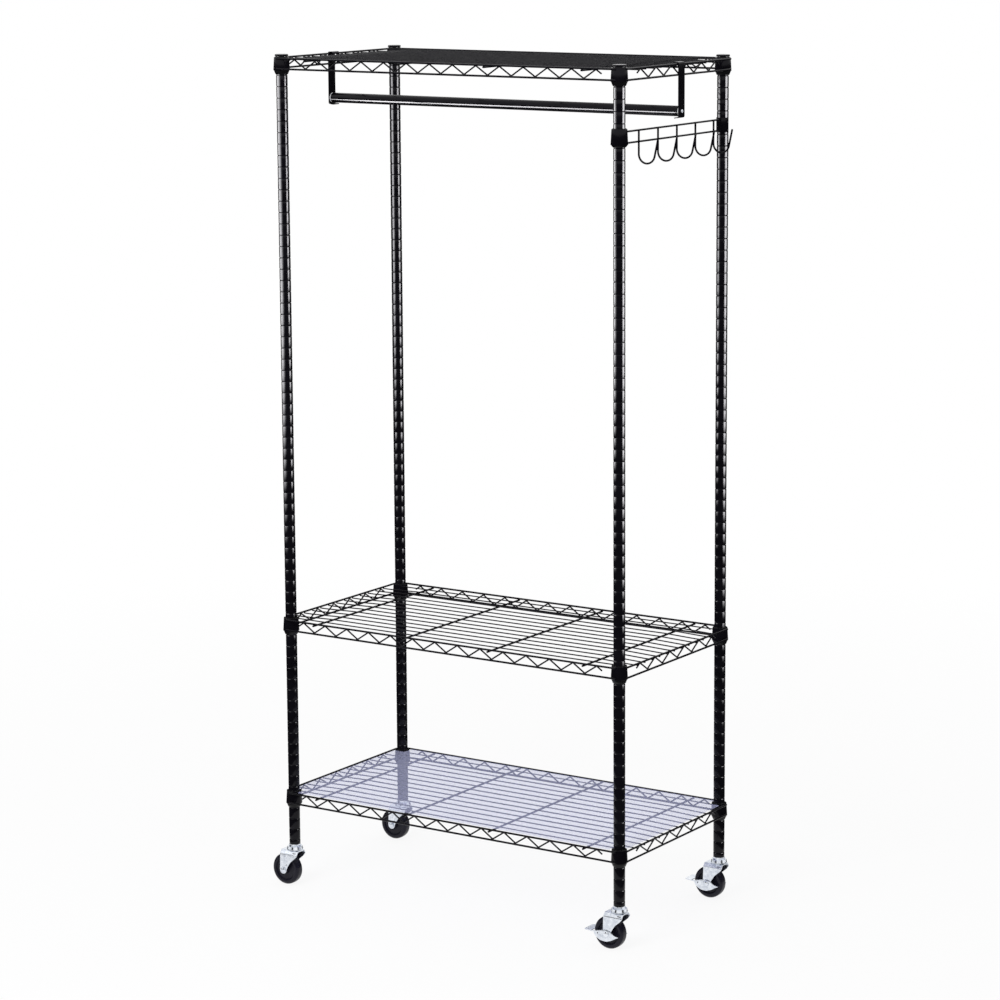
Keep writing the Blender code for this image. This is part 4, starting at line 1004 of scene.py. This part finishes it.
def plug_outline(sizes):
    """Closed (r, h) outline of a plug from the bar's end: a shank in the bore, a ring against the bar's
    end and a hole for the screw."""
    hole, shank, face = sizes.screw + GAP, sizes.radius - sizes.wall - GAP, GAP + sizes.flange
    corners = [
        (hole, -sizes.plug_depth), (shank, -sizes.plug_depth), (shank, GAP), (sizes.radius, GAP),
        (sizes.radius, face), (hole, face),
    ]
    return rounded(corners, [0.3, 1.0, 0.2, 0.3, 0.6, 0.2], 3, closed=True)


def screw_outline(sizes):
    """(r, h) outline of a screw from under its head: a shank with a chamfered tip, and a head whose edge
    rises straight to a dome."""
    shank, head, edge, chamfer = sizes.screw, sizes.screw_head, 0.5, 1.0
    tilt = np.radians(np.linspace(8, 84, 12))
    dome = np.column_stack([head * np.cos(tilt), edge + (sizes.screw_rise - edge) * np.sin(tilt)])
    low = -sizes.screw_length
    return np.vstack([
        [(0, low), (shank - chamfer / 2, low), (shank, low + chamfer), (shank, 0), (head, 0)],
        dome, [(0, sizes.screw_rise - sizes.recess)],
    ])


class RACK_OT_bar(bpy.types.Operator):
    """The hanging bar with a pale plug and a cross-head screw at each end"""

    bl_idname = "rack.bar"
    bl_label = "Hanging Bar"

    def execute(self, context):
        sizes = sizes_of("rack_bar")
        bore, radius = sizes.radius - sizes.wall, sizes.radius
        tube = [(bore, -BAR_HALF), (radius, -BAR_HALF), (radius, BAR_HALF), (bore, BAR_HALF)]
        shell = along_x(turned(rounded(tube, 0.4, 3, closed=True), 56))
        add_piece("round_bar", moved(shell, (0, 0, BAR_AXIS)), "hanging_bar", "black_powder_coat")

        def cross_recess(radius, height, turn):
            """Sinks a cross into the screw's head where either arm is near: its depth fades with the
            distance from the arm's line, and towards the arm's end."""
            near = np.minimum(np.abs(radius * np.cos(turn)), np.abs(radius * np.sin(turn)))
            sunk = (1 - smooth_step(near, 0.25, 0.6)) * (1 - smooth_step(radius, 1.6, 2.4))
            return radius, height - np.where(height > 0.5, sizes.recess * sunk, 0)

        parts = (
            ("plug", turned(plug_outline(sizes), 48), BAR_HALF, "pale_plastic"),
            ("screw", turned(screw_outline(sizes), 48, cross_recess), STRAP_OUTER + GAP, "bright_zinc"),
        )
        for part, shell, face, slot in parts:
            for end, side in ENDS.items():
                shifted = moved(along_x(shell, side), (side * face, 0, BAR_AXIS))
                add_piece(f"end_{part}_{end}", shifted, f"bar_{part}_{end}", slot)
        return {"FINISHED"}


def strap_points(sizes, shelf, side):
    """The middle of the strap's sheet: a rounded route in X and Z from the lip's tip, up outside the bar's
    end, over the side rail and down again, carried across the strap's width. The free corners of the two
    prongs and of the lip are rounded by drawing them back along the route."""
    half = sizes.strap / 2
    outer, back = STRAP_OUTER - half, STRAP_OUTER - sizes.hook_inset + half
    crown = SEATS["top"] - shelf.side_drop + shelf.rail + GAP + half
    lip = BAR_AXIS - sizes.radius - 2 * GAP - half
    corners = [
        (STRAP_OUTER - sizes.strap - sizes.lip, lip - sizes.lip_fall), (outer, lip), (outer, crown),
        (back, crown), (back, crown - half - sizes.hook_drop),
    ]
    route = rounded(corners, [3.0, 2.6, 2.6], steps=6)
    lead = np.linspace(0, 0.99, 7)[:, None]
    tail = route[-1] + (0, 1) * np.linspace(sizes.notch_depth, 0, 7)[:, None]
    route = np.vstack([route[0] * (1 - lead) + route[1] * lead, route[1:-1], tail])
    run = np.append(0, np.cumsum(np.linalg.norm(np.diff(route, axis=0), axis=1)))
    wide, notch, corner = sizes.strap_width / 2, sizes.notch / 2, sizes.strap_corner
    prong = np.linspace(notch, wide, 9)
    across = np.concatenate([-prong[::-1], np.linspace(-notch, notch, 5)[1:-1], prong])
    off_prong = np.abs(np.abs(across) - (wide + notch) / 2)
    back_tip = drawn_back(off_prong - ((wide - notch) / 2 - corner), corner)
    lip_tip = drawn_back(np.abs(across) - (wide - corner), corner)
    fade_back = np.clip(1 - (run[-1] - run) / sizes.notch_depth, 0, 1)[:, None]
    fade_lip = np.clip(1 - run / (2 * corner), 0, 1)[:, None]
    drawn = run[:, None] + lip_tip * fade_lip - back_tip * fade_back
    x, z = np.interp(drawn, run, route[:, 0]), np.interp(drawn, run, route[:, 1])
    kept = np.ones((len(run) - 1, len(across) - 1), bool)
    kept[-6:, np.abs((across[1:] + across[:-1]) / 2) < notch] = False
    return np.stack([side * x, 0 * x + across, z], -1), kept


class RACK_OT_brackets(bpy.types.Operator):
    """The bent strap at each end of the hanging bar, hooked over the top shelf's side rail"""

    bl_idname = "rack.brackets"
    bl_label = "Bar Brackets"

    def execute(self, context):
        sizes = sizes_of("rack_bar")
        for end, side in ENDS.items():
            shell = sheet_shell(*strap_points(sizes, sizes_of("rack_shelves"), side))
            node = "bar_bracket_" + end
            add_piece("strap_" + node, shell, node, "black_powder_coat", wall=sizes.strap, bevel=0.35)
        return {"FINISHED"}


class RACK_OT_liner(bpy.types.Operator):
    """The clear liner on the bottom shelf, cut out round the collars"""

    bl_idname = "rack.liner"
    bl_label = "Shelf Liner"

    def execute(self, context):
        sizes = sizes_of("rack_bar")
        x, y = sizes.liner_x, sizes.liner_y
        cut_x, cut_y = HALF_X - sizes.liner_cut, HALF_Y - sizes.liner_cut
        quarter = np.array([(x, cut_y), (cut_x, cut_y), (cut_x, y)])
        corners = [quarter, quarter[::-1] * (-1, 1), quarter * (-1, -1), quarter[::-1] * (1, -1)]
        outline = rounded(np.vstack(corners), np.tile([2.0, 6.0, 2.0], 4), 5, closed=True)
        shell = prism(outline, LINER_LOW, LINER_LOW + sizes.liner_sheet)
        add_piece("clear_liner", shell, "shelf_liner", "liner_film", "liner", bevel=0.2)
        return {"FINISHED"}


# Casters


def stem_shell(sizes):
    """The threaded stem, a six-sided nut, the bearing cup with six dimples, its balls and the kingpin. The
    nut's radius is the smaller of the outline's and a hexagon's, w / cos of the angle off the flat."""
    low, top = sizes.cup_low, sizes.cup_low + sizes.cup_height
    foot, rim, ring_edge = low - 0.1, sizes.cup_radius, sizes.cup_top

    def off_sixth(turn):
        """The angle from the middle of the nearest sixth of a turn."""
        return (turn + math.pi / 6) % (math.pi / 3) - math.pi / 6

    def six_sided(radius, height, turn):
        """Cuts the flats of the nut where its outline stands outside the hexagon."""
        return np.minimum(radius, sizes.nut / np.cos(off_sixth(turn))), height

    def dimpled(radius, height, turn):
        """Sinks six dimples into the top ring by bell curves."""
        ring, size, depth, first = 15.2, 0.9, 0.8, math.radians(31.6)
        off = off_sixth(turn - first)
        apart = np.hypot(radius * np.cos(off) - ring, radius * np.sin(off))
        return radius, height - np.where(height > top - 1, depth * np.exp(-((apart / size) ** 2)), 0)

    nut_top, wide = top + sizes.nut_height, sizes.nut / math.cos(math.pi / 6)
    nut = [
        (0, top - 0.2), (wide - 1.0, top - 0.2), (wide + 0.4, top + 0.7), (wide + 0.4, nut_top - 0.8),
        (wide - 1.0, nut_top), (0, nut_top),
    ]
    skirt = rounded([
        (13.0, foot), (15.0, low + 1.6), (rim - 1.2, low + 0.9), (rim, low + 1.5), (rim - 0.3, low + 3.2),
        (ring_edge + 0.1, top - 1.6), (ring_edge - 0.5, top),
    ], 0.9, 4)
    ring = np.column_stack([np.linspace(ring_edge - 1.1, 11.5, 12), np.full(12, top)])
    cup = np.vstack([[(0, foot)], skirt, ring, [(0, top)]])
    pin_low, pin_head, pin_top = 2 * sizes.wheel + 1.7, 2 * sizes.wheel + 3.5, low + 0.3
    head, shank = 7.2, 4.8
    pin = rounded([
        (0, pin_low), (head, pin_low), (head, pin_head), (shank, pin_head), (shank, pin_top), (0, pin_top),
    ], 0.8, 3)
    thread, tip = 5.0, FOOT + 22.0
    stem = [(0, top), (thread, top), (thread, tip - 1.2), (thread - 1.2, tip), (0, tip)]
    turn = 2 * np.pi * np.arange(28) / 28
    race = np.column_stack([
        sizes.ball_ring * np.cos(turn), sizes.ball_ring * np.sin(turn), np.full(28, low + 0.5)
    ])
    return joined(
        turned(nut, 72, six_sided), turned(cup, 120, dimpled), turned(pin, 32), turned(stem, 32),
        beads(race, sizes.ball),
    )


def fork_points(sizes):
    """The middle of the fork's sheet. Across the caster it follows a leg, a sloping shoulder, the raised
    crown and the other side alike. Along X each of its lines runs from the back edge to the front edge,
    which are curves of the height. A crease is pressed into each leg, inwards by a bell curve, and a slot
    is left out of each shoulder."""
    axle_x, axle_z, tip, leg, crown = -sizes.trail, sizes.wheel, sizes.tip, sizes.leg, sizes.crown
    shoulder = [(0, crown), (11.7, crown), (14.5, 78.93), (15.5, 77.45), (leg, 75.4), (leg, 68)]
    down = np.linspace(67, axle_z, 16)[1:]
    lower = np.append(down, axle_z - tip * np.sin(np.radians(np.linspace(8, 84, 9))))
    half = np.vstack([
        rounded(shoulder, [2.6, 0, 0, 4.0], steps=5), np.column_stack([np.full(len(lower), leg), lower])
    ])
    path = np.vstack([half[:0:-1] * (-1, 1), half])
    y, z = path[:, :1], path[:, 1:]
    front_edge = rounded(
        [(axle_x + tip, 36.5), (-9.0, 45.0), (-1.0, 57.0), (16.0, 71.5), (16.5, 76.0), (16.5, 90.0)],
        [20.0, 16.0, 7.0, 3.0], steps=6,
    )
    back_edge = np.array([(axle_x - tip, 36.5), (-30.7, 48.0), (-29.6, 84.0)])
    tip_half = np.sqrt(np.maximum(tip**2 - np.minimum(z - axle_z, 0) ** 2, 0))
    front = np.where(z < axle_z, axle_x + tip_half, np.interp(z, front_edge[:, 1], front_edge[:, 0]))
    back = np.where(z < axle_z, axle_x - tip_half, np.interp(z, back_edge[:, 1], back_edge[:, 0]))
    x = back + (front - back) * np.linspace(0, 1, 29)
    crease_x, crease_half = -13, 1.5
    fold = sizes.crease * np.exp(-(((x - crease_x) / crease_half) ** 2))
    fold = fold * smooth_step(z, 46, 51) * (1 - smooth_step(z, 69, 73))
    cell_y, cell_x = np.abs(y[1:] + y[:-1]) / 2, (x[:-1, 1:] + x[1:, :-1]) / 2
    slot = (cell_y > 14.5) & (cell_y < 15.5) & (cell_x > 4) & (cell_x < 14)
    return np.stack([x, y - np.sign(y) * fold, z + 0 * x], -1), ~slot


def axle_outline(sizes, end):
    """(r, h) outline of the axle from its middle: a rod to where the head starts, and a domed rivet head."""
    head, edge = end - sizes.rivet_height, 1.0
    tilt = np.radians(np.linspace(0, 82, 7))
    dome = np.column_stack([
        sizes.rivet * np.cos(tilt), head + edge + (sizes.rivet_height - edge) * np.sin(tilt)
    ])
    half = np.vstack([[(sizes.axle, 0), (sizes.axle, head), (sizes.rivet - GAP, head)], dome, [(0, end)]])
    return np.vstack([half[::-1] * (1, -1), half[1:]])


class RACK_OT_casters(bpy.types.Operator):
    """The stem with nut and bearing cup, the pressed fork and the riveted axle of each caster"""

    bl_idname = "rack.casters"
    bl_label = "Caster Stems and Forks"

    def execute(self, context):
        sizes = sizes_of("rack_casters")
        add_all_round("nut_and_cup", stem_shell(sizes), "caster_stem", "bright_zinc")
        add_all_round(
            "pressed_fork", sheet_shell(*fork_points(sizes)), "caster_fork", "bright_zinc", "swivel",
            wall=sizes.sheet, bevel=0.4,
        )
        for corner, place in at_corners(sizes.wheel, -sizes.trail):
            node = "caster_axle_" + corner
            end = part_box(node)[1].y / MM - place[1]
            axle = moved(along_y(turned(axle_outline(sizes, end), 40)), place)
            add_piece("riveted_axle_" + corner, axle, node, "bright_zinc", "swivel_" + corner)
        return {"FINISHED"}


class RACK_OT_wheels(bpy.types.Operator):
    """The moulded wheel of each caster"""

    bl_idname = "rack.wheels"
    bl_label = "Caster Wheels"

    def execute(self, context):
        sizes = sizes_of("rack_casters")
        half, radius, hub = sizes.width / 2, sizes.wheel, sizes.hub
        boss, dish, rim = half + sizes.hub_proud, half - sizes.recess, radius - sizes.rim
        side = [
            (sizes.axle + GAP, boss), (hub, boss), (hub + 1.2, dish), (rim - 1.5, dish), (rim, half - 0.4),
            (rim + 1.6, half), (radius - 4.4, half), (radius - 0.4, half - 3.4),
        ]
        radii = [0.3, 1.2, 1.5, 1.5, 1.0, 0.8, 3.0, 4.0]
        corners = np.vstack([side, [(radius, 0)], np.array(side[::-1]) * (1, -1)])
        wheel = along_y(turned(rounded(corners, radii + [40.0] + radii[::-1], 5, closed=True), 88))
        add_all_round("moulded_wheel", wheel, "caster_wheel", "wheel_polymer", "wheel", radius, -sizes.trail)
        return {"FINISHED"}


def cheek_points(sizes, side):
    """A pedal cheek's sheet, from its lower edge to its upper edge. Both edges are rounded routes in X and
    Z about the swivel axis, read at the same X. One cell is left out for the small hole."""
    upper = rounded(
        [(-62, 38.9), (-53, 39.2), (-34, 43.6), (-22, 46.0), (-12, 42.6), (-2, 35.6), (8.4, 33.4)],
        [20, 20, 12, 12, 20],
    )
    lower = rounded([
        (-62, 36.9), (-53.5, 36.6), (-49.5, 28), (-38, 20.6), (-22, 18.8), (-8, 23.6), (2, 29.6),
        (8.4, 32.4),
    ], [3, 8, 20, 20, 20, 20])
    hole_x, hole_z = (-44.6, -42.4), (35.0, 37.2)
    x = np.unique(np.append(np.linspace(-62, 8.4, 52), hole_x))
    low, high = np.interp(x, lower[:, 0], lower[:, 1]), np.interp(x, upper[:, 0], upper[:, 1])
    z = low + (high - low) * np.linspace(0, 1, 5)[:, None]
    hole = (x > hole_x[0] - 0.1) & (x < hole_x[1] + 0.1)
    z[2, hole], z[3, hole] = hole_z
    y = side * (sizes.leg + sizes.sheet / 2 + GAP + sizes.pedal / 2)
    kept = np.ones((len(z) - 1, len(x) - 1), bool)
    kept[2] = ~(hole[1:] & hole[:-1])
    return np.stack([x + 0 * z, y + 0 * z, z], -1), kept


def tab_points(sizes):
    """The toe tab's sheet behind the wheel: it lifts by a sine along X, and its outer corners are rounded
    by narrowing it along a circle."""
    front, back, height, lift, corner = -60.5, -79.0, 38.0, 0.6, 7.0
    x = np.linspace(front, back, 14)
    wide = sizes.leg + sizes.sheet / 2 + GAP + sizes.pedal
    narrow = drawn_back(corner - (x - back), corner)
    y = np.linspace(-1, 1, 15)[:, None] * (wide - 0.98 * narrow)
    z = height + lift * np.sin((x - front) / (back - front) * math.pi / 2)
    return np.stack([x + 0 * y, y, z + 0 * y], -1)


class RACK_OT_brakes(bpy.types.Operator):
    """The brake pedal of each caster on the right: a cheek outside each fork leg and a toe tab behind"""

    bl_idname = "rack.brakes"
    bl_label = "Brake Pedals"

    def execute(self, context):
        sizes = sizes_of("rack_casters")
        cheeks = [sheet_shell(*cheek_points(sizes, side)) for side in (-1, 1)]
        shell = joined(*cheeks, sheet_shell(tab_points(sizes)))
        add_all_round(
            "toe_brake", shell, "brake_pedal", "bright_zinc", "brake", corners=BRAKED, wall=sizes.pedal,
            bevel=0.3,
        )
        return {"FINISHED"}


# Studio, in metres


VIEW_YAW = 0.58573
VIEW_PITCH = 0.17225
VIEW_ROLL = -0.00619
CAMERA_PLACE = (4.0414, -6.1034, 2.3004)
CAMERA_LENS = 119.45
CAMERA_SHIFT = -0.05
WHITE = (1.0, 1.0, 1.0)


def studio_spot(turn, distance, height):
    """A point about the rack, t degrees to the right of the camera as it sees it: (d sin(Y + t),
    -d cos(Y + t), h) for the camera's yaw Y."""
    angle = VIEW_YAW + math.radians(turn)
    return np.array([distance * math.sin(angle), -distance * math.cos(angle), height])


def flag_cloth(settings):
    """Black studio cloth, woven. It only darkens reflections, with a faint weave of about 4 mm."""
    made, place = new_finish("woven black studio cloth")
    weave = add_node(made, "ShaderNodeTexNoise", {"Vector": place, "Scale": every(4), "Detail": 1.0})
    rough = {"Value": weave, **NOISE_RANGE, "To Min": 0.85, "To Max": 0.95}
    rough = add_node(made, "ShaderNodeMapRange", rough)
    return finish_shader(made, {"Base Color": settings.flag, "Roughness": rough})


def add_flag(name, first, rings, cloth):
    """A closed band of cloth about the rack that only glossy rays meet: (r cos a, r sin a, h) all round from
    the first angle, for each ring's radius r and height h."""
    turn = first + 2 * np.pi * np.arange(49) / 48
    radius, height = np.array(rings, float).T[:, :, None]
    points = np.stack([radius * np.cos(turn), radius * np.sin(turn), height + 0 * turn], -1)
    made = add_object(name, sheet_shell(points), cloth)
    for ray in ("camera", "diffuse", "transmission", "volume_scatter", "shadow"):
        setattr(made, "visible_" + ray, False)


def starting(words):
    """The pieces whose names start so."""
    return [piece for piece in bpy.data.objects if piece.name.startswith(words)]


def finished_in(slot):
    """The pieces with a slot's finish."""
    meshes = [piece for piece in bpy.data.objects if piece.type == "MESH"]
    return [piece for piece in meshes if finish(slot).name in piece.data.materials]


def add_softbox(name, place, target, size, radiance, lights=None, dim=None):
    """An area light facing a point. Its power is its radiance times pi times its area. Where lights is
    given, it holds the only pieces that the light falls on, and only their reflections show it. Where dim
    is given, it holds (start, end, low) across the light and then upwards, as shares of its size: the
    light goes from low at one share to full at the other along a smooth step."""
    lamp = bpy.data.lights.new(name, "AREA")
    lamp.shape = "RECTANGLE"
    lamp.size, lamp.size_y = size
    lamp.energy = radiance * math.pi * size[0] * size[1]
    made = bpy.data.objects.new(name, lamp)
    bpy.context.scene.collection.objects.link(made)
    back = place - np.asarray(target, float)
    back /= np.linalg.norm(back)
    side = np.cross((0, 0, 1), back)
    side /= np.linalg.norm(side)
    turn = np.eye(4)
    turn[:3] = np.column_stack([side, np.cross(back, side), back, place])
    made.matrix_world = Matrix(turn.tolist())
    made.visible_camera = made.visible_transmission = False
    made.visible_diffuse, made.visible_glossy = lights is None, lights is not None
    if lights is not None:
        group = bpy.data.collections.new(name + " pieces")
        for piece in lights:
            group.objects.link(piece)
        made.light_linking.receiver_collection = group
    if dim:
        lamp.use_nodes = True
        lamp.node_tree.nodes.clear()
        across = add_node(lamp, "ShaderNodeNewGeometry").outputs["Parametric"]
        shares = add_node(lamp, "ShaderNodeSeparateXYZ", {"Vector": across}).outputs
        steps = [
            {"Value": shares[axis], "From Min": start, "From Max": end, "To Min": low}
            for axis, (start, end, low) in zip("XY", dim)
        ]
        smooth = {"interpolation_type": "SMOOTHSTEP"}
        steps = [add_node(lamp, "ShaderNodeMapRange", step, **smooth) for step in steps]
        product = add_node(lamp, "ShaderNodeMath", {0: steps[0], 1: steps[1]}, operation="MULTIPLY")
        glow = add_node(lamp, "ShaderNodeEmission", {"Strength": product})
        add_node(lamp, "ShaderNodeOutputLight", {"Surface": glow})


def add_lamps(settings):
    """The key light over the camera's left, the softboxes whose bands stand in the posts, fading below
    their lower halves, the low strip whose line lies along the bar, and a plain card on each side for the
    zinc."""
    add_softbox("key light", studio_spot(-35, 5.0, 4.2), (0, 0, 0.9), (2.4, 2.4), settings.key)
    posts = starting("grooved_")
    add_softbox(
        "left softbox", studio_spot(-67.4, 1.3, 1.8), studio_spot(0, 0.5, 1.8), (1.6, 2.4),
        settings.left_band, posts, dim=((0.6, 0.44, 0.15), (0.0, 0.29, 0.0)),
    )
    add_softbox(
        "right softbox", studio_spot(73.6, 2.18, 1.65), (0, 0, 1.65), (1.4, 3.0), settings.right_band,
        posts, dim=((-1.0, 0.0, 0.0), (0.0, 0.34, 0.0)),
    )
    low = studio_spot(-67, 1.85, 0.6)
    add_softbox("low strip", low, (0, 0, 1.8), (2.4, 0.7), settings.bar_line, starting("round_bar"))
    for turn in (0, 90, 180, 270):
        place = studio_spot(turn, 2.6, 0.9)
        lights = finished_in("bright_zinc")
        add_softbox(f"zinc card {turn}", place, (0, 0, 0.9), (3.6, 1.7), settings.card, lights)


def floor_material(settings):
    """Pale vinyl studio floor, lit from within so that it ends in the white backdrop. The share of plain
    white light grows with the distance from the rack, and near the rack the floor takes its shadow."""
    made, place = new_finish("pale vinyl studio floor")
    far = add_node(made, "ShaderNodeVectorMath", {0: place}, operation="LENGTH").outputs["Value"]
    fade = {"Value": far, "From Min": 1.2, "From Max": 3.6, "To Min": 0.88}
    fade = add_node(made, "ShaderNodeMapRange", fade)
    cloud = add_node(made, "ShaderNodeTexNoise", {"Vector": place, "Scale": every(400), "Detail": 2.0})
    cloud = add_node(made, "ShaderNodeMapRange", {"Value": cloud, **NOISE_RANGE})
    tint = {"Factor": cloud, 6: settings.floor, 7: np.array(settings.floor) * 0.985}
    tint = add_node(made, "ShaderNodeMix", tint, data_type="RGBA").outputs[2]
    matte = add_node(made, "ShaderNodeBsdfDiffuse", {"Color": tint})
    glow = add_node(made, "ShaderNodeEmission", {"Color": WHITE, "Strength": 1.0})
    mixed = add_node(made, "ShaderNodeMixShader", {0: fade, 1: matte, 2: glow})
    add_node(made, "ShaderNodeOutputMaterial", {"Surface": mixed})
    return made


def light_world(settings):
    """A white world at full strength for camera, glossy and transmission rays, and at the fill strength
    for the light that falls on matte surfaces."""
    world = bpy.data.worlds.new("white studio")
    world.use_nodes = True
    world.node_tree.nodes.clear()
    rays = add_node(world, "ShaderNodeLightPath").outputs
    seen = rays["Is Camera Ray"]
    for ray in ("Is Glossy Ray", "Is Transmission Ray"):
        seen = add_node(world, "ShaderNodeMath", {0: seen, 1: rays[ray]}, operation="MAXIMUM")
    strength = add_node(world, "ShaderNodeMapRange", {"Value": seen, "To Min": settings.fill})
    back = add_node(world, "ShaderNodeBackground", {"Color": WHITE, "Strength": strength})
    add_node(world, "ShaderNodeOutputWorld", {"Surface": back})
    bpy.context.scene.world = world


def add_camera():
    """The camera at the photograph's angle: a yaw to the right, a pitch down and a slight roll."""
    lens = bpy.data.cameras.new("view camera")
    lens.lens = CAMERA_LENS
    lens.sensor_width = 36.0
    lens.shift_y = CAMERA_SHIFT
    lens.clip_end = 100.0
    made = bpy.data.objects.new("view camera", lens)
    bpy.context.scene.collection.objects.link(made)
    level = math.cos(VIEW_PITCH)
    forward = np.array([-math.sin(VIEW_YAW) * level, math.cos(VIEW_YAW) * level, -math.sin(VIEW_PITCH)])
    right = np.array([math.cos(VIEW_YAW), math.sin(VIEW_YAW), 0.0])
    up = np.cross(right, forward)
    cosine, sine = math.cos(VIEW_ROLL), math.sin(VIEW_ROLL)
    turn = np.eye(4)
    sideways, upwards = right * cosine + up * sine, up * cosine - right * sine
    turn[:3] = np.column_stack([sideways, upwards, -forward, CAMERA_PLACE])
    made.matrix_world = Matrix(turn.tolist())
    bpy.context.scene.camera = made


class RACK_OT_stage(bpy.types.Operator):
    """The pale floor, the white world, the lights, the black cloth seen only in reflections and the camera"""

    bl_idname = "rack.stage"
    bl_label = "Studio"

    def execute(self, context):
        settings = context.scene.rack_studio
        half = 40.0
        corners = np.array([[(-half, -half, 0), (half, -half, 0)], [(-half, half, 0), (half, half, 0)]])
        add_object("studio_floor", sheet_shell(corners), floor_material(settings))
        light_world(settings)
        add_lamps(settings)
        cloth, inner, outer, floor = flag_cloth(settings), 0.8, 3.1, 0.0005
        add_flag("flag_wall", VIEW_YAW + math.radians(120), ((outer, 0.002), (outer, 1.95)), cloth)
        add_flag("floor_flag", 0.0, ((inner, floor), ((inner + outer) / 2, floor), (outer, floor)), cloth)
        add_camera()
        context.scene.view_settings.view_transform = "Standard"
        return {"FINISHED"}


# Panel and registration


SECTIONS = (
    ("Posts", "rack_posts", PostSettings, (RACK_OT_posts,)),
    ("Shelves", "rack_shelves", ShelfSettings, (RACK_OT_sleeves, RACK_OT_shelves)),
    ("Hook Rail", "rack_hooks", HookSettings, (RACK_OT_hook_rail,)),
    ("Hanging Bar and Liner", "rack_bar", BarSettings, (RACK_OT_bar, RACK_OT_brackets, RACK_OT_liner)),
    ("Casters", "rack_casters", CasterSettings, (RACK_OT_casters, RACK_OT_wheels, RACK_OT_brakes)),
    ("Finishes", "rack_finishes", FinishSettings, ()),
    ("Studio", "rack_studio", StudioSettings, (RACK_OT_stage,)),
)


class RACK_PT_panel(bpy.types.Panel):
    """Lists the rack's settings and the operators that make its pieces"""

    bl_idname = "RACK_PT_panel"
    bl_label = "Clothes Rack"
    bl_space_type = "VIEW_3D"
    bl_region_type = "UI"
    bl_category = "Clothes Rack"

    def draw(self, context):
        for title, group, kind, operators in SECTIONS:
            box = self.layout.box()
            box.label(text=title)
            for key in kind.__annotations__:
                box.prop(getattr(context.scene, group), key)
            for operator in operators:
                box.operator(operator.bl_idname)


CLASSES = tuple(made for _, _, kind, operators in SECTIONS for made in (kind, *operators)) + (RACK_PT_panel,)


def register():
    """Registers every class and hangs the settings on the scene."""
    for made in CLASSES:
        bpy.utils.register_class(made)
    for _, group, kind, _ in SECTIONS:
        setattr(bpy.types.Scene, group, bpy.props.PointerProperty(type=kind))


def unregister():
    """Takes everything out again."""
    for _, group, _, _ in SECTIONS:
        delattr(bpy.types.Scene, group)
    for made in reversed(CLASSES):
        bpy.utils.unregister_class(made)


def main():
    register()
    bpy.ops.rack.posts()
    bpy.ops.rack.sleeves()
    bpy.ops.rack.shelves()
    bpy.ops.rack.hook_rail()
    bpy.ops.rack.bar()
    bpy.ops.rack.brackets()
    bpy.ops.rack.liner()
    bpy.ops.rack.casters()
    bpy.ops.rack.wheels()
    bpy.ops.rack.brakes()
    bpy.ops.rack.stage()


if __name__ == "__main__":
    main()
